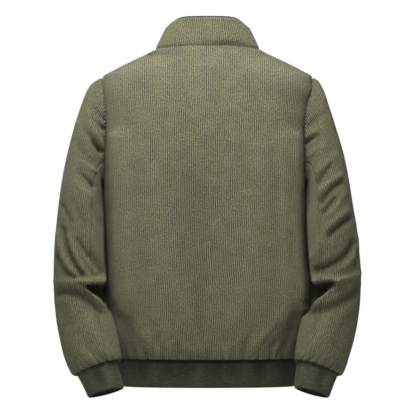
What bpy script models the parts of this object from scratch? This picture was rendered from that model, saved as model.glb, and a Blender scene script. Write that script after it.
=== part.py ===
"""A corduroy jacket with a stand collar and a front zip, filled out as it is when worn.

Metres, +Z up. The front faces -Y and the wearer's left is +X. The origin is the middle of the neck
at the height of the neck points, where the shoulders carry the jacket.
"""

import math
from collections import namedtuple

import bpy
from mathutils import Vector

# Cloth and seams
CLOTH = 0.0025  # corduroy with its backing
RIB = 0.003  # rib knit of the hem band and the cuffs
COLLAR_INNER_CLOTH = 0.002
SEAM_GAP = 0.0003
SLEEVE_SEAM_GAP = 0.0006
SLEEVE_RADIUS = 0.065  # at the sleeve's two seams
SEAM_STRIP = 0.006  # share of a panel taken by the narrow strip of faces beside each seam

# Body, neck and hem
HEM_HEIGHT = -0.622
BAND_TOP = -0.616  # the band is lapped inside the body's hem
BAND_BOTTOM = -0.6772
UNDERARM = -0.298
SHOULDER_POINT = -0.058
ARMHOLE_HALF_DEPTH = 0.055
NECK_HALF_WIDTH = 0.105
NECK_BACK = 0.062
NECK_FRONT = 0.075
FRONT_EDGE = 0.006  # each front stops this far from the middle, where the zip shows

# Collar
COLLAR_TOP_HALF_WIDTH = 0.084
COLLAR_TOP_BACK = 0.052
COLLAR_TOP_FRONT = 0.069
COLLAR_BULGE = 0.003
COLLAR_INNER_RISE = 0.003
COLLAR_HEIGHT = 0.057
COLLAR_INNER_EDGE = 0.0172  # the inner layer stops beside the zip tape

# Zip
TAPE_INNER_EDGE = 0.0004
TAPE_OUTER_EDGE = 0.016
TAPE_CLOTH = 0.001
TEETH_HALF_WIDTH = 0.003
TEETH_DEPTH = 0.0019
ZIP_BOTTOM = -0.6745
TEETH_TOP = -0.0345
SLIDER_BOTTOM = -0.0342
SLIDER_LENGTH = 0.011
SLIDER_HALF_WIDTH = 0.0045
SLIDER_DEPTH = 0.0054
SLIDER_FACE = -0.0755  # depth of the slider's front face
BRIDGE_HALF_WIDTH = 0.001
BRIDGE_BAR = 0.0012
BRIDGE_OPENING = 0.0026
BRIDGE_LOWER_FOOT = -0.0326
BRIDGE_UPPER_FOOT = -0.0256
PULL_PIN = 0.0014
PULL_AXIS = -0.0308  # height of the pin in the bridge
PULL_THICKNESS = 0.0016
PULL_HALF_WIDTH = 0.0035
PULL_EYE_HALF_WIDTH = 0.0018
PULL_EYE_LENGTH = 0.0060
PULL_LENGTH = 0.024
PULL_END_STEPS = 8

# Horizontal sections of the body. The squareness is a superellipse's power: 2 is an ellipse.
BodySection = namedtuple("BodySection", "height half_width back front middle squareness")
BODY_SECTIONS = (
    BodySection(-0.622, 0.184, 0.119, 0.1155, 0.000, 2.3),
    BodySection(-0.600, 0.190, 0.126, 0.1190, 0.000, 2.3),
    BodySection(-0.560, 0.192, 0.130, 0.1230, 0.000, 2.3),
    BodySection(-0.520, 0.196, 0.131, 0.1260, 0.000, 2.3),
    BodySection(-0.480, 0.199, 0.131, 0.1280, 0.000, 2.3),
    BodySection(-0.440, 0.200, 0.131, 0.1300, 0.002, 2.3),
    BodySection(-0.400, 0.199, 0.131, 0.1310, 0.0035, 2.3),
    BodySection(-0.340, 0.1992, 0.130, 0.1310, 0.005, 2.3),
    BodySection(-0.298, 0.2015, 0.129, 0.1300, 0.006, 2.5),
    BodySection(-0.250, 0.2070, 0.128, 0.1280, 0.006, 2.5),
    BodySection(-0.200, 0.2115, 0.125, 0.1220, 0.006, 2.5),
    BodySection(-0.150, 0.2115, 0.120, 0.1110, 0.005, 2.5),
    BodySection(-0.110, 0.2110, 0.113, 0.0960, 0.003, 2.45),
    BodySection(-0.080, 0.2125, 0.105, 0.0800, 0.000, 2.4),
    BodySection(-0.058, 0.2115, 0.097, 0.0705, 0.000, 2.3),
    BodySection(-0.042, 0.1870, 0.090, 0.0630, 0.000, 2.25),
    BodySection(-0.024, 0.1515, 0.081, 0.0560, 0.000, 2.2),
    BodySection(-0.010, 0.1220, 0.073, 0.0490, 0.000, 2.2),
    BodySection(-0.001, 0.1050, 0.067, 0.0430, 0.000, 2.2),
    BodySection(0.006, 0.0900, 0.061, 0.0360, 0.000, 2.2),
    BodySection(0.014, 0.0600, 0.050, 0.0250, 0.000, 2.2),
)

# Horizontal sections of the rib band below the body
BAND_SECTIONS = (
    BodySection(BAND_BOTTOM, 0.1780, 0.1130, 0.1095, 0.000, 2.35),
    BodySection(-0.660, 0.1805, 0.1155, 0.1115, 0.000, 2.35),
    BodySection(-0.635, 0.1812, 0.1160, 0.1120, 0.000, 2.35),
    BodySection(BAND_TOP, 0.1800, 0.1150, 0.1115, 0.000, 2.3),
)

BAND_HEIGHTS = (BAND_BOTTOM, -0.668, -0.650, -0.632, BAND_TOP)

# Height of the collar's top edge round the neck: -90 is the centre front, 90 the centre back.
EdgeHeight = namedtuple("EdgeHeight", "angle height")
COLLAR_EDGE = (
    EdgeHeight(-90, -0.0130),
    EdgeHeight(-60, -0.0050),
    EdgeHeight(-30, 0.0170),
    EdgeHeight(0, 0.0400),
    EdgeHeight(20, 0.0465),
    EdgeHeight(31, 0.0525),
    EdgeHeight(40, 0.0570),
    EdgeHeight(50, 0.0603),
    EdgeHeight(62, 0.0617),
    EdgeHeight(90, 0.0620),
)

# Rings of a sleeve from the armhole to the cuff seam. Each ring lies between an outer and an inner
# point, given left and right as distances from the middle plane; middle is its centre's depth, tilt
# the angle by which its back is raised, and steps the number of rings laid out to the next row.
SleeveRing = namedtuple(
    "SleeveRing",
    "steps outer_left outer_right outer_height inner_left inner_right inner_height "
    "middle half_depth tilt",
)
SLEEVE_RINGS = (
    SleeveRing(1, 0.2125, 0.2105, -0.058, 0.2065, 0.1945, -0.298, 0.000, 0.055, 0),
    SleeveRing(1, 0.2240, 0.2210, -0.064, 0.2085, 0.1978, -0.299, 0.001, 0.060, 0),
    SleeveRing(1, 0.2360, 0.2280, -0.074, 0.2085, 0.1982, -0.300, 0.002, 0.065, 0),
    SleeveRing(1, 0.2440, 0.2350, -0.088, 0.2085, 0.1982, -0.302, 0.004, 0.069, 0),
    SleeveRing(1, 0.2510, 0.2410, -0.106, 0.2085, 0.1982, -0.305, 0.006, 0.072, 0),
    SleeveRing(1, 0.2590, 0.2490, -0.130, 0.2085, 0.1980, -0.309, 0.009, 0.075, 0),
    SleeveRing(1, 0.2670, 0.2570, -0.156, 0.2085, 0.1978, -0.315, 0.012, 0.077, 0),
    SleeveRing(1, 0.2750, 0.2660, -0.186, 0.2078, 0.1970, -0.324, 0.017, 0.078, 0),
    SleeveRing(1, 0.2830, 0.2750, -0.220, 0.2055, 0.1955, -0.336, 0.024, 0.078, 0),
    SleeveRing(1, 0.2910, 0.2830, -0.262, 0.2028, 0.1935, -0.352, 0.033, 0.077, 0),
    SleeveRing(2, 0.2980, 0.2910, -0.314, 0.2010, 0.1920, -0.374, 0.040, 0.075, 0),
    SleeveRing(2, 0.3030, 0.2990, -0.362, 0.1998, 0.1925, -0.400, 0.045, 0.073, 0),
    SleeveRing(2, 0.3065, 0.3035, -0.405, 0.1990, 0.1945, -0.428, 0.047, 0.070, 2),
    SleeveRing(3, 0.3075, 0.3065, -0.445, 0.1975, 0.1950, -0.455, 0.047, 0.068, 4),
    SleeveRing(2, 0.3075, 0.3070, -0.475, 0.1965, 0.1950, -0.478, 0.048, 0.066, 7),
    SleeveRing(2, 0.3065, 0.3055, -0.500, 0.1965, 0.1950, -0.500, 0.050, 0.063, 11),
    SleeveRing(1, 0.3040, 0.3030, -0.524, 0.1930, 0.1925, -0.522, 0.057, 0.060, 14),
    SleeveRing(1, 0.3005, 0.2990, -0.550, 0.1850, 0.1855, -0.548, 0.066, 0.058, 15),
    SleeveRing(1, 0.2940, 0.2920, -0.582, 0.1775, 0.1785, -0.578, 0.075, 0.057, 16),
    SleeveRing(1, 0.2865, 0.2830, -0.612, 0.1725, 0.1745, -0.604, 0.084, 0.054, 14),
    SleeveRing(1, 0.2770, 0.2750, -0.637, 0.1705, 0.1730, -0.617, 0.090, 0.049, 13),
    SleeveRing(1, 0.2690, 0.2680, -0.650, 0.1720, 0.1735, -0.6225, 0.092, 0.045, 12),
    SleeveRing(0, 0.2635, 0.2630, -0.6535, 0.1765, 0.1765, -0.6240, 0.093, 0.0415, 12),
)
ARMHOLE_FADE = 5  # rings over which a sleeve leaves the armhole's own curve
UNDER_SEAM_BACK = 115  # the under sleeve lies between these angles; 0 is the outer side, 90 the back
UNDER_SEAM_FRONT = 235

# Rings of a cuff, from its lapped top edge down
CUFF_RINGS = (
    SleeveRing(1, 0.2597, 0.2595, -0.6450, 0.1800, 0.1800, -0.6190, 0.092, 0.0372, 12),
    SleeveRing(2, 0.2595, 0.2590, -0.6515, 0.1788, 0.1790, -0.6235, 0.093, 0.0381, 12),
    SleeveRing(1, 0.2480, 0.2505, -0.6740, 0.1725, 0.1755, -0.6510, 0.096, 0.0365, 11),
    SleeveRing(0, 0.2380, 0.2420, -0.6965, 0.1650, 0.1720, -0.6770, 0.099, 0.0350, 10),
)

# Largest folds. Each runs straight between two places seen from the back or the front, given as the
# distance from the middle plane and the height. A depth below zero is a trough, above zero a ridge.
Fold = namedtuple("Fold", "side face across_1 height_1 across_2 height_2 depth width")
BACK, FRONT = 1, -1
LEFT, RIGHT = 1, -1
FOLDS = (
    Fold(LEFT, BACK, 0.300, -0.458, 0.205, -0.463, 0.007, 0.012),
    Fold(LEFT, BACK, 0.240, -0.482, 0.200, -0.496, -0.017, 0.010),
    Fold(LEFT, BACK, 0.240, -0.513, 0.205, -0.522, -0.005, 0.010),
    Fold(LEFT, BACK, 0.285, -0.398, 0.250, -0.452, -0.004, 0.011),
    Fold(LEFT, BACK, 0.283, -0.325, 0.272, -0.410, -0.004, 0.011),
    Fold(LEFT, BACK, 0.258, -0.378, 0.240, -0.410, -0.004, 0.012),
    Fold(LEFT, BACK, 0.246, -0.162, 0.226, -0.184, -0.004, 0.012),
    Fold(LEFT, FRONT, 0.290, -0.380, 0.225, -0.440, -0.005, 0.016),
    Fold(LEFT, FRONT, 0.285, -0.500, 0.230, -0.475, -0.005, 0.016),
    Fold(RIGHT, BACK, 0.300, -0.456, 0.208, -0.463, 0.007, 0.012),
    Fold(RIGHT, BACK, 0.245, -0.478, 0.206, -0.498, -0.016, 0.010),
    Fold(RIGHT, BACK, 0.275, -0.492, 0.225, -0.500, -0.005, 0.012),
    Fold(RIGHT, BACK, 0.281, -0.350, 0.241, -0.400, -0.005, 0.012),
    Fold(RIGHT, BACK, 0.263, -0.274, 0.227, -0.304, -0.004, 0.012),
    Fold(RIGHT, BACK, 0.249, -0.232, 0.219, -0.266, -0.004, 0.012),
    Fold(RIGHT, FRONT, 0.290, -0.370, 0.225, -0.435, -0.005, 0.016),
    Fold(RIGHT, FRONT, 0.285, -0.505, 0.230, -0.478, -0.005, 0.016),
)

# Gathers above the hem band
GATHERS_ON_BACK = 16
GATHERS_ON_FRONT = 7
GATHER_DEPTH = 0.0036
GATHER_REACH = 0.045

# Faces laid out on each piece
BODY_ROWS_SIDE = 9
BODY_ROWS_ARMHOLE = 11
SIDE_SHARE = 0.55  # share of a panel's outer edge that is side seam
NECK_SEAM_TURN = 0.3  # half the gap between back and front at the neck point, in degrees
NECK_SHARE = 0.72  # share of a front's inner edge that is zip
SHOULDER_SHARE = 0.24  # share of the back's top edge that is one shoulder seam
BACK_COLUMNS = 2 * GATHERS_ON_BACK
FRONT_COLUMNS = 2 * GATHERS_ON_FRONT
TOP_SLEEVE_COLUMNS = 13
UNDER_SLEEVE_COLUMNS = 8
CUFF_COLUMNS = 22
COLLAR_ROWS = 4
BAND_COLUMNS = 44

CORDUROY_COLOUR = (0.150, 0.148, 0.088, 1)
RIB_COLOUR = (0.045, 0.047, 0.033, 1)
INNER_COLOUR = (0.075, 0.072, 0.050, 1)
TAPE_COLOUR = (0.050, 0.051, 0.034, 1)
METAL_COLOUR = (0.300, 0.290, 0.260, 1)


for thing in list(bpy.data.objects):
    bpy.data.objects.remove(thing)

jacket = bpy.data.collections.new("corduroy_jacket")
bpy.context.scene.collection.children.link(jacket)
tools = bpy.data.collections.new("cutters")
bpy.context.scene.collection.children.link(tools)


def material(name, colour, roughness, metallic=0.0):
    made = bpy.data.materials.new(name)
    made.use_nodes = True
    shader = made.node_tree.nodes["Principled BSDF"]
    shader.inputs["Base Color"].default_value = colour
    shader.inputs["Roughness"].default_value = roughness
    shader.inputs["Metallic"].default_value = metallic
    return made


corduroy = material("olive_corduroy", CORDUROY_COLOUR, 0.9)
rib_knit = material("dark_rib_knit", RIB_COLOUR, 0.85)
collar_lining = material("collar_inner_cloth", INNER_COLOUR, 0.9)
tape_weave = material("zip_tape", TAPE_COLOUR, 0.8)
metal = material("zip_metal", METAL_COLOUR, 0.35, 1.0)


def keep(piece, finish):
    piece.data.materials.append(finish)
    for collection in list(piece.users_collection):
        collection.objects.unlink(piece)
    jacket.objects.link(piece)
    return piece


def sheet(name, grid, wall, finish, closed=False, turned=False):
    """A cloth wall: rows of points on its outer face, thickened inwards by a Solidify modifier."""
    columns = len(grid[0])
    points = [point for row in grid for point in row]
    last = columns if closed else columns - 1
    faces = []
    for row in range(len(grid) - 1):
        for column in range(last):
            beside = (column + 1) % columns
            face = [
                row * columns + column,
                row * columns + beside,
                (row + 1) * columns + beside,
                (row + 1) * columns + column,
            ]
            faces.append(face[::-1] if turned else face)
    mesh = bpy.data.meshes.new(name)
    mesh.from_pydata(points, [], faces)
    mesh.shade_smooth()
    mesh.set_sharp_from_angle(angle=math.radians(50))
    piece = bpy.data.objects.new(name, mesh)
    thickness = piece.modifiers.new("wall", "SOLIDIFY")
    thickness.thickness = wall
    thickness.offset = -1.0
    return keep(piece, finish)


def smooth_rows(rows, place):
    """The row at a place counted in rows, each column on a curve that never overshoots its rows."""
    below = min(int(place), len(rows) - 2)
    share = place - below
    values = []
    for column in range(len(rows[0])):
        here = rows[below][column]
        there = rows[below + 1][column]
        rise = there - here
        before = here - rows[below - 1][column] if below > 0 else rise
        after = rows[below + 2][column] - there if below + 2 < len(rows) else rise
        slope_in = 2 * before * rise / (before + rise) if before * rise > 0 else 0.0
        slope_out = 2 * after * rise / (after + rise) if after * rise > 0 else 0.0
        values.append(
            here
            + share * slope_in
            + share**2 * (3 * rise - 2 * slope_in - slope_out)
            + share**3 * (slope_in + slope_out - 2 * rise)
        )
    return type(rows[0])(*values)


def section_at(sections, height):
    """The section at a height, read between the rows of a table whose first column rises."""
    last = len(sections) - 1
    below = 0
    while below < last - 1 and sections[below + 1][0] <= height:
        below += 1
    span = sections[below + 1][0] - sections[below][0]
    share = min(max((height - sections[below][0]) / span, 0.0), 1.0)
    return smooth_rows(sections, below + share)


def power_of(value, power):
    return math.copysign(abs(value) ** power, value)


def section_point(sections, angle, height):
    """Outer point of a section: angle 0 at the wearer's left side, 90 at the centre back."""
    section = section_at(sections, height)
    turn = math.radians(angle)
    depth = section.back if math.sin(turn) > 0 else section.front
    power = 2 / section.squareness
    return Vector(
        (
            section.middle + section.half_width * power_of(math.cos(turn), power),
            depth * power_of(math.sin(turn), power),
            height,
        )
    )


def angle_at_depth(sections, depth, height):
    """Angle on the wearer's left at which a section has this depth."""
    section = section_at(sections, height)
    most = section.back if depth > 0 else section.front
    share = min(abs(depth) / most, 1.0)
    return math.degrees(math.copysign(math.asin(share ** (section.squareness / 2)), depth))


def front_angle(sections, across, height):
    """Angle at which the front of a section is this far from the middle plane."""
    section = section_at(sections, height)
    share = (across - section.middle) / section.half_width
    return -math.degrees(math.acos(power_of(share, section.squareness / 2)))


def armhole_depth(height):
    """Half the armhole's width, front to back, at a height."""
    middle = (SHOULDER_POINT + UNDERARM) / 2
    half = (SHOULDER_POINT - UNDERARM) / 2
    return ARMHOLE_HALF_DEPTH * math.sqrt(max(1 - ((height - middle) / half) ** 2, 0.0))


def neck_place(turn):
    """Angle and height on the body of the neck seam, found below its oval plan."""
    across = NECK_HALF_WIDTH * math.cos(math.radians(turn))
    around = math.sin(math.radians(turn))
    depth = around * (NECK_BACK if around > 0 else NECK_FRONT)
    low, high = -0.110, 0.013
    for _ in range(40):
        height = (low + high) / 2
        section = section_at(BODY_SECTIONS, height)
        most = section.back if depth > 0 else section.front
        power = section.squareness
        inside = (abs(across) / section.half_width) ** power + (abs(depth) / most) ** power
        low, high = (height, high) if inside < 1 else (low, height)
    angle = math.degrees(
        math.atan2(
            power_of(depth / most, power / 2),
            power_of(across / section.half_width, power / 2),
        )
    )
    return angle, height


NECK_POINT = neck_place(0.0)[1]
NECK_FRONT_TURN = -math.degrees(math.acos(FRONT_EDGE / NECK_HALF_WIDTH))
NECK_BASE = neck_place(NECK_FRONT_TURN)[1]


def spread(count):
    """Shares from 0 to 1 with a narrow first and last step, so that seams turn in squarely."""
    inner = [step / (count - 2) for step in range(count - 1)]
    return [0.0] + [SEAM_STRIP + share * (1 - 2 * SEAM_STRIP) for share in inner] + [1.0]


def outer_edge(share, face):
    """Place on a panel's outer edge on the wearer's left: up the side seam, then round the armhole."""
    if share <= SIDE_SHARE:
        height = HEM_HEIGHT + (UNDERARM - HEM_HEIGHT) * share / SIDE_SHARE
        depth = 0.0
    else:
        turn = math.radians(180 * (share - SIDE_SHARE) / (1 - SIDE_SHARE) - 90)
        half = (SHOULDER_POINT - UNDERARM) / 2
        height = (SHOULDER_POINT + UNDERARM) / 2 + half * math.sin(turn)
        depth = armhole_depth(height)
    return angle_at_depth(BODY_SECTIONS, face * (depth + SEAM_GAP / 2), height), height


def shoulder_edge(share, face):
    """Place on the shoulder seam on the wearer's left, from the shoulder point to the neck point."""
    height = SHOULDER_POINT + (NECK_POINT - SHOULDER_POINT) * share
    return angle_at_depth(BODY_SECTIONS, face * SEAM_GAP / 2, height), height


def other_side(place):
    return 180 - place[0], place[1]


def back_top_edge(share):
    if share < SHOULDER_SHARE:
        return shoulder_edge(share / SHOULDER_SHARE, BACK)
    if share > 1 - SHOULDER_SHARE:
        return other_side(shoulder_edge((1 - share) / SHOULDER_SHARE, BACK))
    return neck_place(back_neck_turn(share))


def zip_height(share):
    """Height on the zip's edge of a front at a share below NECK_SHARE."""
    return HEM_HEIGHT + (NECK_BASE - HEM_HEIGHT) * share / NECK_SHARE


def front_neck_turn(share):
    return min(NECK_FRONT_TURN * (1 - share) / (1 - NECK_SHARE), -NECK_SEAM_TURN)


def back_neck_turn(share):
    turn = 180 * (share - SHOULDER_SHARE) / (1 - 2 * SHOULDER_SHARE)
    return min(max(turn, NECK_SEAM_TURN), 180 - NECK_SEAM_TURN)


def front_inner_edge(share, side):
    """Place on a front's inner edge, as on the left: up beside the zip, then round the neck."""
    if share < NECK_SHARE:
        height = zip_height(share)
        angle = front_angle(BODY_SECTIONS, side * FRONT_EDGE, height)
        return (angle if side == LEFT else -180 - angle), height
    return neck_place(front_neck_turn(share))


def to_flat(place, face):
    """Place on a body panel as it lies flat: across from the centre back or front, and height."""
    angle, height = place
    return (90 - face * angle) / 90 * section_at(BODY_SECTIONS, height).half_width, height


def from_flat(across, height, face):
    share = min(across / section_at(BODY_SECTIONS, height).half_width, 1.0)
    return face * 90 * (1 - share), height


def patch(columns, rows, face, bottom, top, left, right):
    """Places spread evenly between a panel's four edges, each a function of the share along it."""
    low_row = [to_flat(bottom(share), face) for share in columns]
    high_row = [to_flat(top(share), face) for share in columns]
    grid = []
    for up in rows:
        near = to_flat(left(up), face)
        far = to_flat(right(up), face)
        line = []
        for along, low, high in zip(columns, low_row, high_row):
            across, height = (
                (1 - up) * low[k]
                + up * high[k]
                + (1 - along) * near[k]
                + along * far[k]
                - (1 - up) * ((1 - along) * low_row[0][k] + along * low_row[-1][k])
                - up * ((1 - along) * high_row[0][k] + along * high_row[-1][k])
                for k in range(2)
            )
            line.append(from_flat(across, height, face))
        grid.append(line)
    return grid


def gathered(point, column, columns):
    """Moves a point of the body out or in by the soft gathers above the hem band."""
    rise = min(max((point.z - HEM_HEIGHT) / GATHER_REACH, 0.0), 1.0)
    fade = math.sin(math.pi * min(rise + 0.15, 1.0))
    inside = 1 < column < columns - 2
    wave = (-1) ** column * GATHER_DEPTH / 2 if inside else 0.0
    outward = Vector((point.x, point.y, 0)).normalized()
    return point + outward * wave * fade


def body_grid(places):
    return [
        [
            gathered(section_point(BODY_SECTIONS, *place), column, len(row))
            for column, place in enumerate(row)
        ]
        for row in places
    ]


BODY_ROWS = (
    [0.0, SEAM_STRIP / 2]
    + [SIDE_SHARE * step / BODY_ROWS_SIDE for step in range(1, BODY_ROWS_SIDE)]
    + [
        SIDE_SHARE + (1 - SIDE_SHARE) * step / BODY_ROWS_ARMHOLE
        for step in range(BODY_ROWS_ARMHOLE)
    ]
    + [1 - SEAM_STRIP / 2, 1.0]
)


def make_back():
    def hem(share):
        start = outer_edge(0, BACK)[0]
        return start + (180 - 2 * start) * share, HEM_HEIGHT

    places = patch(
        spread(BACK_COLUMNS),
        BODY_ROWS,
        BACK,
        hem,
        back_top_edge,
        lambda share: outer_edge(share, BACK),
        lambda share: other_side(outer_edge(share, BACK)),
    )
    sheet("back", body_grid(places), CLOTH, corduroy)


def make_front(side):
    def hem(share):
        start = front_inner_edge(0, side)[0]
        return start + (outer_edge(0, FRONT)[0] - start) * share, HEM_HEIGHT

    places = patch(
        spread(FRONT_COLUMNS),
        BODY_ROWS,
        FRONT,
        hem,
        lambda share: shoulder_edge(1 - share, FRONT),
        lambda share: front_inner_edge(share, side),
        lambda share: outer_edge(share, FRONT),
    )
    if side == RIGHT:
        places = [[other_side(place) for place in row] for row in places]
    name = "front_left" if side == LEFT else "front_right"
    sheet(name, body_grid(places), CLOTH, corduroy, turned=side == RIGHT)


def fold_move(point, side, facing):
    """How far the folds push out a point, for a surface that faces the back by this share."""
    across = side * point.x
    moved = 0.0
    for fold in FOLDS:
        if fold.side != side or facing * fold.face <= 0:
            continue
        start = Vector((fold.across_1, fold.height_1))
        run = Vector((fold.across_2, fold.height_2)) - start
        here = Vector((across, point.z)) - start
        share = min(max(here.dot(run) / run.length_squared, 0.0), 1.0)
        distance = (here - run * share).length
        weight = min(abs(facing) * 1.6, 1.0)
        moved += fold.depth * weight * math.exp(-((distance / fold.width) ** 2))
    return moved


def ring_point(rings, side, place, angle):
    """Outer point of a sleeve or cuff ring: angle 0 is the outer side, 90 the back."""
    ring = smooth_rows(rings, place)
    left = side == LEFT
    outer = Vector((ring.outer_left if left else -ring.outer_right, 0, ring.outer_height))
    inner = Vector((ring.inner_left if left else -ring.inner_right, 0, ring.inner_height))
    tilt = math.radians(ring.tilt)
    back = Vector((0, math.cos(tilt), math.sin(tilt)))
    turn = math.radians(angle)
    centre = (outer + inner) / 2 + Vector((0, ring.middle, 0))
    spoke = (outer - inner) / 2 * math.cos(turn) + back * ring.half_depth * math.sin(turn)
    return centre + spoke


def armhole_point(side, angle):
    """Point of the armhole's edge on the body, moved out by the seam's gap."""
    turn = math.radians(angle)
    half = (SHOULDER_POINT - UNDERARM) / 2
    height = (SHOULDER_POINT + UNDERARM) / 2 + half * math.cos(turn)
    depth = ARMHOLE_HALF_DEPTH * math.sin(turn)
    place = angle_at_depth(BODY_SECTIONS, depth, height), height
    point = section_point(BODY_SECTIONS, *(place if side == LEFT else other_side(place)))
    return point + Vector((side * 2.5 * SEAM_GAP, 0, 0))


def sleeve_point(side, place, angle):
    point = ring_point(SLEEVE_RINGS, side, place, angle)
    fade = max(1 - place / ARMHOLE_FADE, 0.0)
    if fade > 0:
        start = ring_point(SLEEVE_RINGS, side, 0, angle)
        point += (armhole_point(side, angle) - start) * fade**2
    facing = math.sin(math.radians(angle))
    centre = (
        ring_point(SLEEVE_RINGS, side, place, 0) + ring_point(SLEEVE_RINGS, side, place, 180)
    ) / 2
    outward = (point - centre).normalized()
    return point + outward * fold_move(point, side, facing)


def ring_places(rings):
    places = [
        row + step / ring.steps
        for row, ring in enumerate(rings)
        for step in range(ring.steps)
    ]
    return places + [len(rings) - 1]


def seam_strip_angles(start, end, count):
    """Angles of a sleeve piece between its two seams, with half the seam's gap at each."""
    gap = math.degrees(SLEEVE_SEAM_GAP / 2 / SLEEVE_RADIUS)
    return [start + gap + (end - start - 2 * gap) * share for share in spread(count)]


def make_sleeve(side):
    name = "left" if side == LEFT else "right"
    places = ring_places(SLEEVE_RINGS)
    pieces = (
        ("top", UNDER_SEAM_FRONT - 360, UNDER_SEAM_BACK, TOP_SLEEVE_COLUMNS),
        ("under", UNDER_SEAM_BACK, UNDER_SEAM_FRONT, UNDER_SLEEVE_COLUMNS),
    )
    for piece, start, end, columns in pieces:
        angles = seam_strip_angles(start, end, columns)
        grid = [[sleeve_point(side, place, angle) for angle in angles] for place in places]
        sheet(f"sleeve_{piece}_{name}", grid, CLOTH, corduroy, turned=side == LEFT)


def make_cuff(side):
    angles = [360 * step / CUFF_COLUMNS for step in range(CUFF_COLUMNS)]
    grid = [
        [ring_point(CUFF_RINGS, side, place, angle) for angle in angles]
        for place in ring_places(CUFF_RINGS)
    ]
    name = "cuff_left" if side == LEFT else "cuff_right"
    sheet(name, grid, RIB, rib_knit, closed=True, turned=side == LEFT)


def make_hem_band():
    grid = []
    for height in BAND_HEIGHTS:
        start = front_angle(BAND_SECTIONS, FRONT_EDGE, height)
        grid.append(
            [
                section_point(BAND_SECTIONS, start + (180 - 2 * start) * share, height)
                for share in spread(BAND_COLUMNS)
            ]
        )
    sheet("hem_band", grid, RIB, rib_knit)


def collar_point(turn, rise):
    """Outer point of the collar: rise 0 is the neck seam and 1 the top edge."""
    base = section_point(BODY_SECTIONS, *neck_place(turn))
    base.z += SEAM_GAP
    around = math.radians(turn)
    reach = COLLAR_TOP_BACK if math.sin(around) > 0 else COLLAR_TOP_FRONT
    folded = 90 - abs(90 - turn) if turn > -90 else -180 - turn
    edge = section_at(COLLAR_EDGE, folded).height
    top = Vector(
        (COLLAR_TOP_HALF_WIDTH * math.cos(around), reach * math.sin(around), edge)
    )
    sideways = Vector((math.copysign(1.0, math.cos(around)), 0, 0))
    bulge = COLLAR_BULGE * abs(math.cos(around)) * math.sin(math.pi * min(rise, 1.0))
    return base.lerp(top, rise) + sideways * bulge


def collar_turns():
    """Turns round the neck that meet the points of the panels' neck edges."""
    front = [front_neck_turn(share) for share in BODY_ROWS if share >= NECK_SHARE]
    back = [
        back_neck_turn(share)
        for share in spread(BACK_COLUMNS)
        if SHOULDER_SHARE < share < 1 - SHOULDER_SHARE
    ]
    other_front = [180 - turn for turn in reversed(front)]
    return [NECK_FRONT_TURN] + front + back + other_front + [180 - NECK_FRONT_TURN]


COLLAR_RISES = [0.0, 0.03] + [step / COLLAR_ROWS for step in range(1, COLLAR_ROWS + 1)]


def make_collar():
    grid = [[collar_point(turn, rise) for turn in collar_turns()] for rise in COLLAR_RISES]
    sheet("collar", grid, CLOTH, corduroy)


def collar_inner_point(turn, rise):
    """Point of the inner layer's face against the outer layer, found along the outer's normal."""
    step_turn, step_rise = 0.5, 0.01
    here = collar_point(turn, rise)
    around = collar_point(turn + step_turn, rise) - collar_point(turn - step_turn, rise)
    up = collar_point(turn, rise + step_rise) - here
    return here - around.cross(up).normalized() * (CLOTH + 2.5 * SEAM_GAP)


def make_collar_inner():
    start = -math.degrees(math.acos(COLLAR_INNER_EDGE / COLLAR_TOP_HALF_WIDTH))
    turns = [turn for turn in collar_turns() if start < turn < 180 - start]
    turns = [start] + turns + [180 - start]
    rises = COLLAR_RISES + [1 + COLLAR_INNER_RISE / COLLAR_HEIGHT]
    grid = [[collar_inner_point(turn, rise) for turn in turns] for rise in rises]
    sheet("collar_inner", grid, COLLAR_INNER_CLOTH, collar_lining)


def zip_rows():
    """Functions that give the jacket's front face beside the zip, one for each row of the zip."""

    def on_band(height):
        def face(across):
            point_angle = front_angle(BAND_SECTIONS, across, height)
            point = section_point(BAND_SECTIONS, point_angle, height)
            return point + Vector((0, RIB - CLOTH, 0))

        return face

    def on_body(height):
        return lambda across: section_point(
            BODY_SECTIONS, front_angle(BODY_SECTIONS, across, height), height
        )

    def on_collar(rise):
        def face(across):
            half_width = NECK_HALF_WIDTH + (COLLAR_TOP_HALF_WIDTH - NECK_HALF_WIDTH) * rise
            return collar_point(-math.degrees(math.acos(across / half_width)), rise)

        return face

    rows = [on_band(height) for height in (ZIP_BOTTOM, *BAND_HEIGHTS[1:])]
    rows += [on_body(zip_height(share)) for share in BODY_ROWS if 0.03 < share < NECK_SHARE]
    rows += [on_collar(rise) for rise in COLLAR_RISES]
    return rows


def make_tape(side):
    grid = []
    for face in zip_rows():
        row = []
        for across in (TAPE_INNER_EDGE, FRONT_EDGE, TAPE_OUTER_EDGE):
            point = face(side * across)
            depth = CLOTH + (SEAM_GAP if across < TAPE_OUTER_EDGE else 3 * SEAM_GAP)
            row.append(Vector((side * across, point.y + depth + SEAM_GAP, point.z)))
        grid.append(row)
    name = "zip_tape_left" if side == LEFT else "zip_tape_right"
    sheet(name, grid, TAPE_CLOTH, tape_weave, turned=side == RIGHT)


def make_teeth():
    grid = []
    for face in zip_rows():
        point = face(0)
        if point.z > TEETH_TOP:
            break
        depth = point.y + CLOTH + SEAM_GAP - TEETH_DEPTH
        grid.append(
            [Vector((across, depth, point.z)) for across in (-TEETH_HALF_WIDTH, TEETH_HALF_WIDTH)]
        )
    last = grid[-1]
    grid.append([Vector((point.x, point.y, TEETH_TOP)) for point in last])
    sheet("zip_teeth", grid, TEETH_DEPTH, metal)


def block(name, low, high):
    """A box between two corners, with its scale applied."""
    bpy.ops.mesh.primitive_cube_add(size=1)
    box = bpy.context.object
    box.name = name
    box.scale = [most - least for least, most in zip(low, high)]
    box.location = [(most + least) / 2 for least, most in zip(low, high)]
    bpy.ops.object.transform_apply(location=True, rotation=True, scale=True)
    return box


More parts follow.
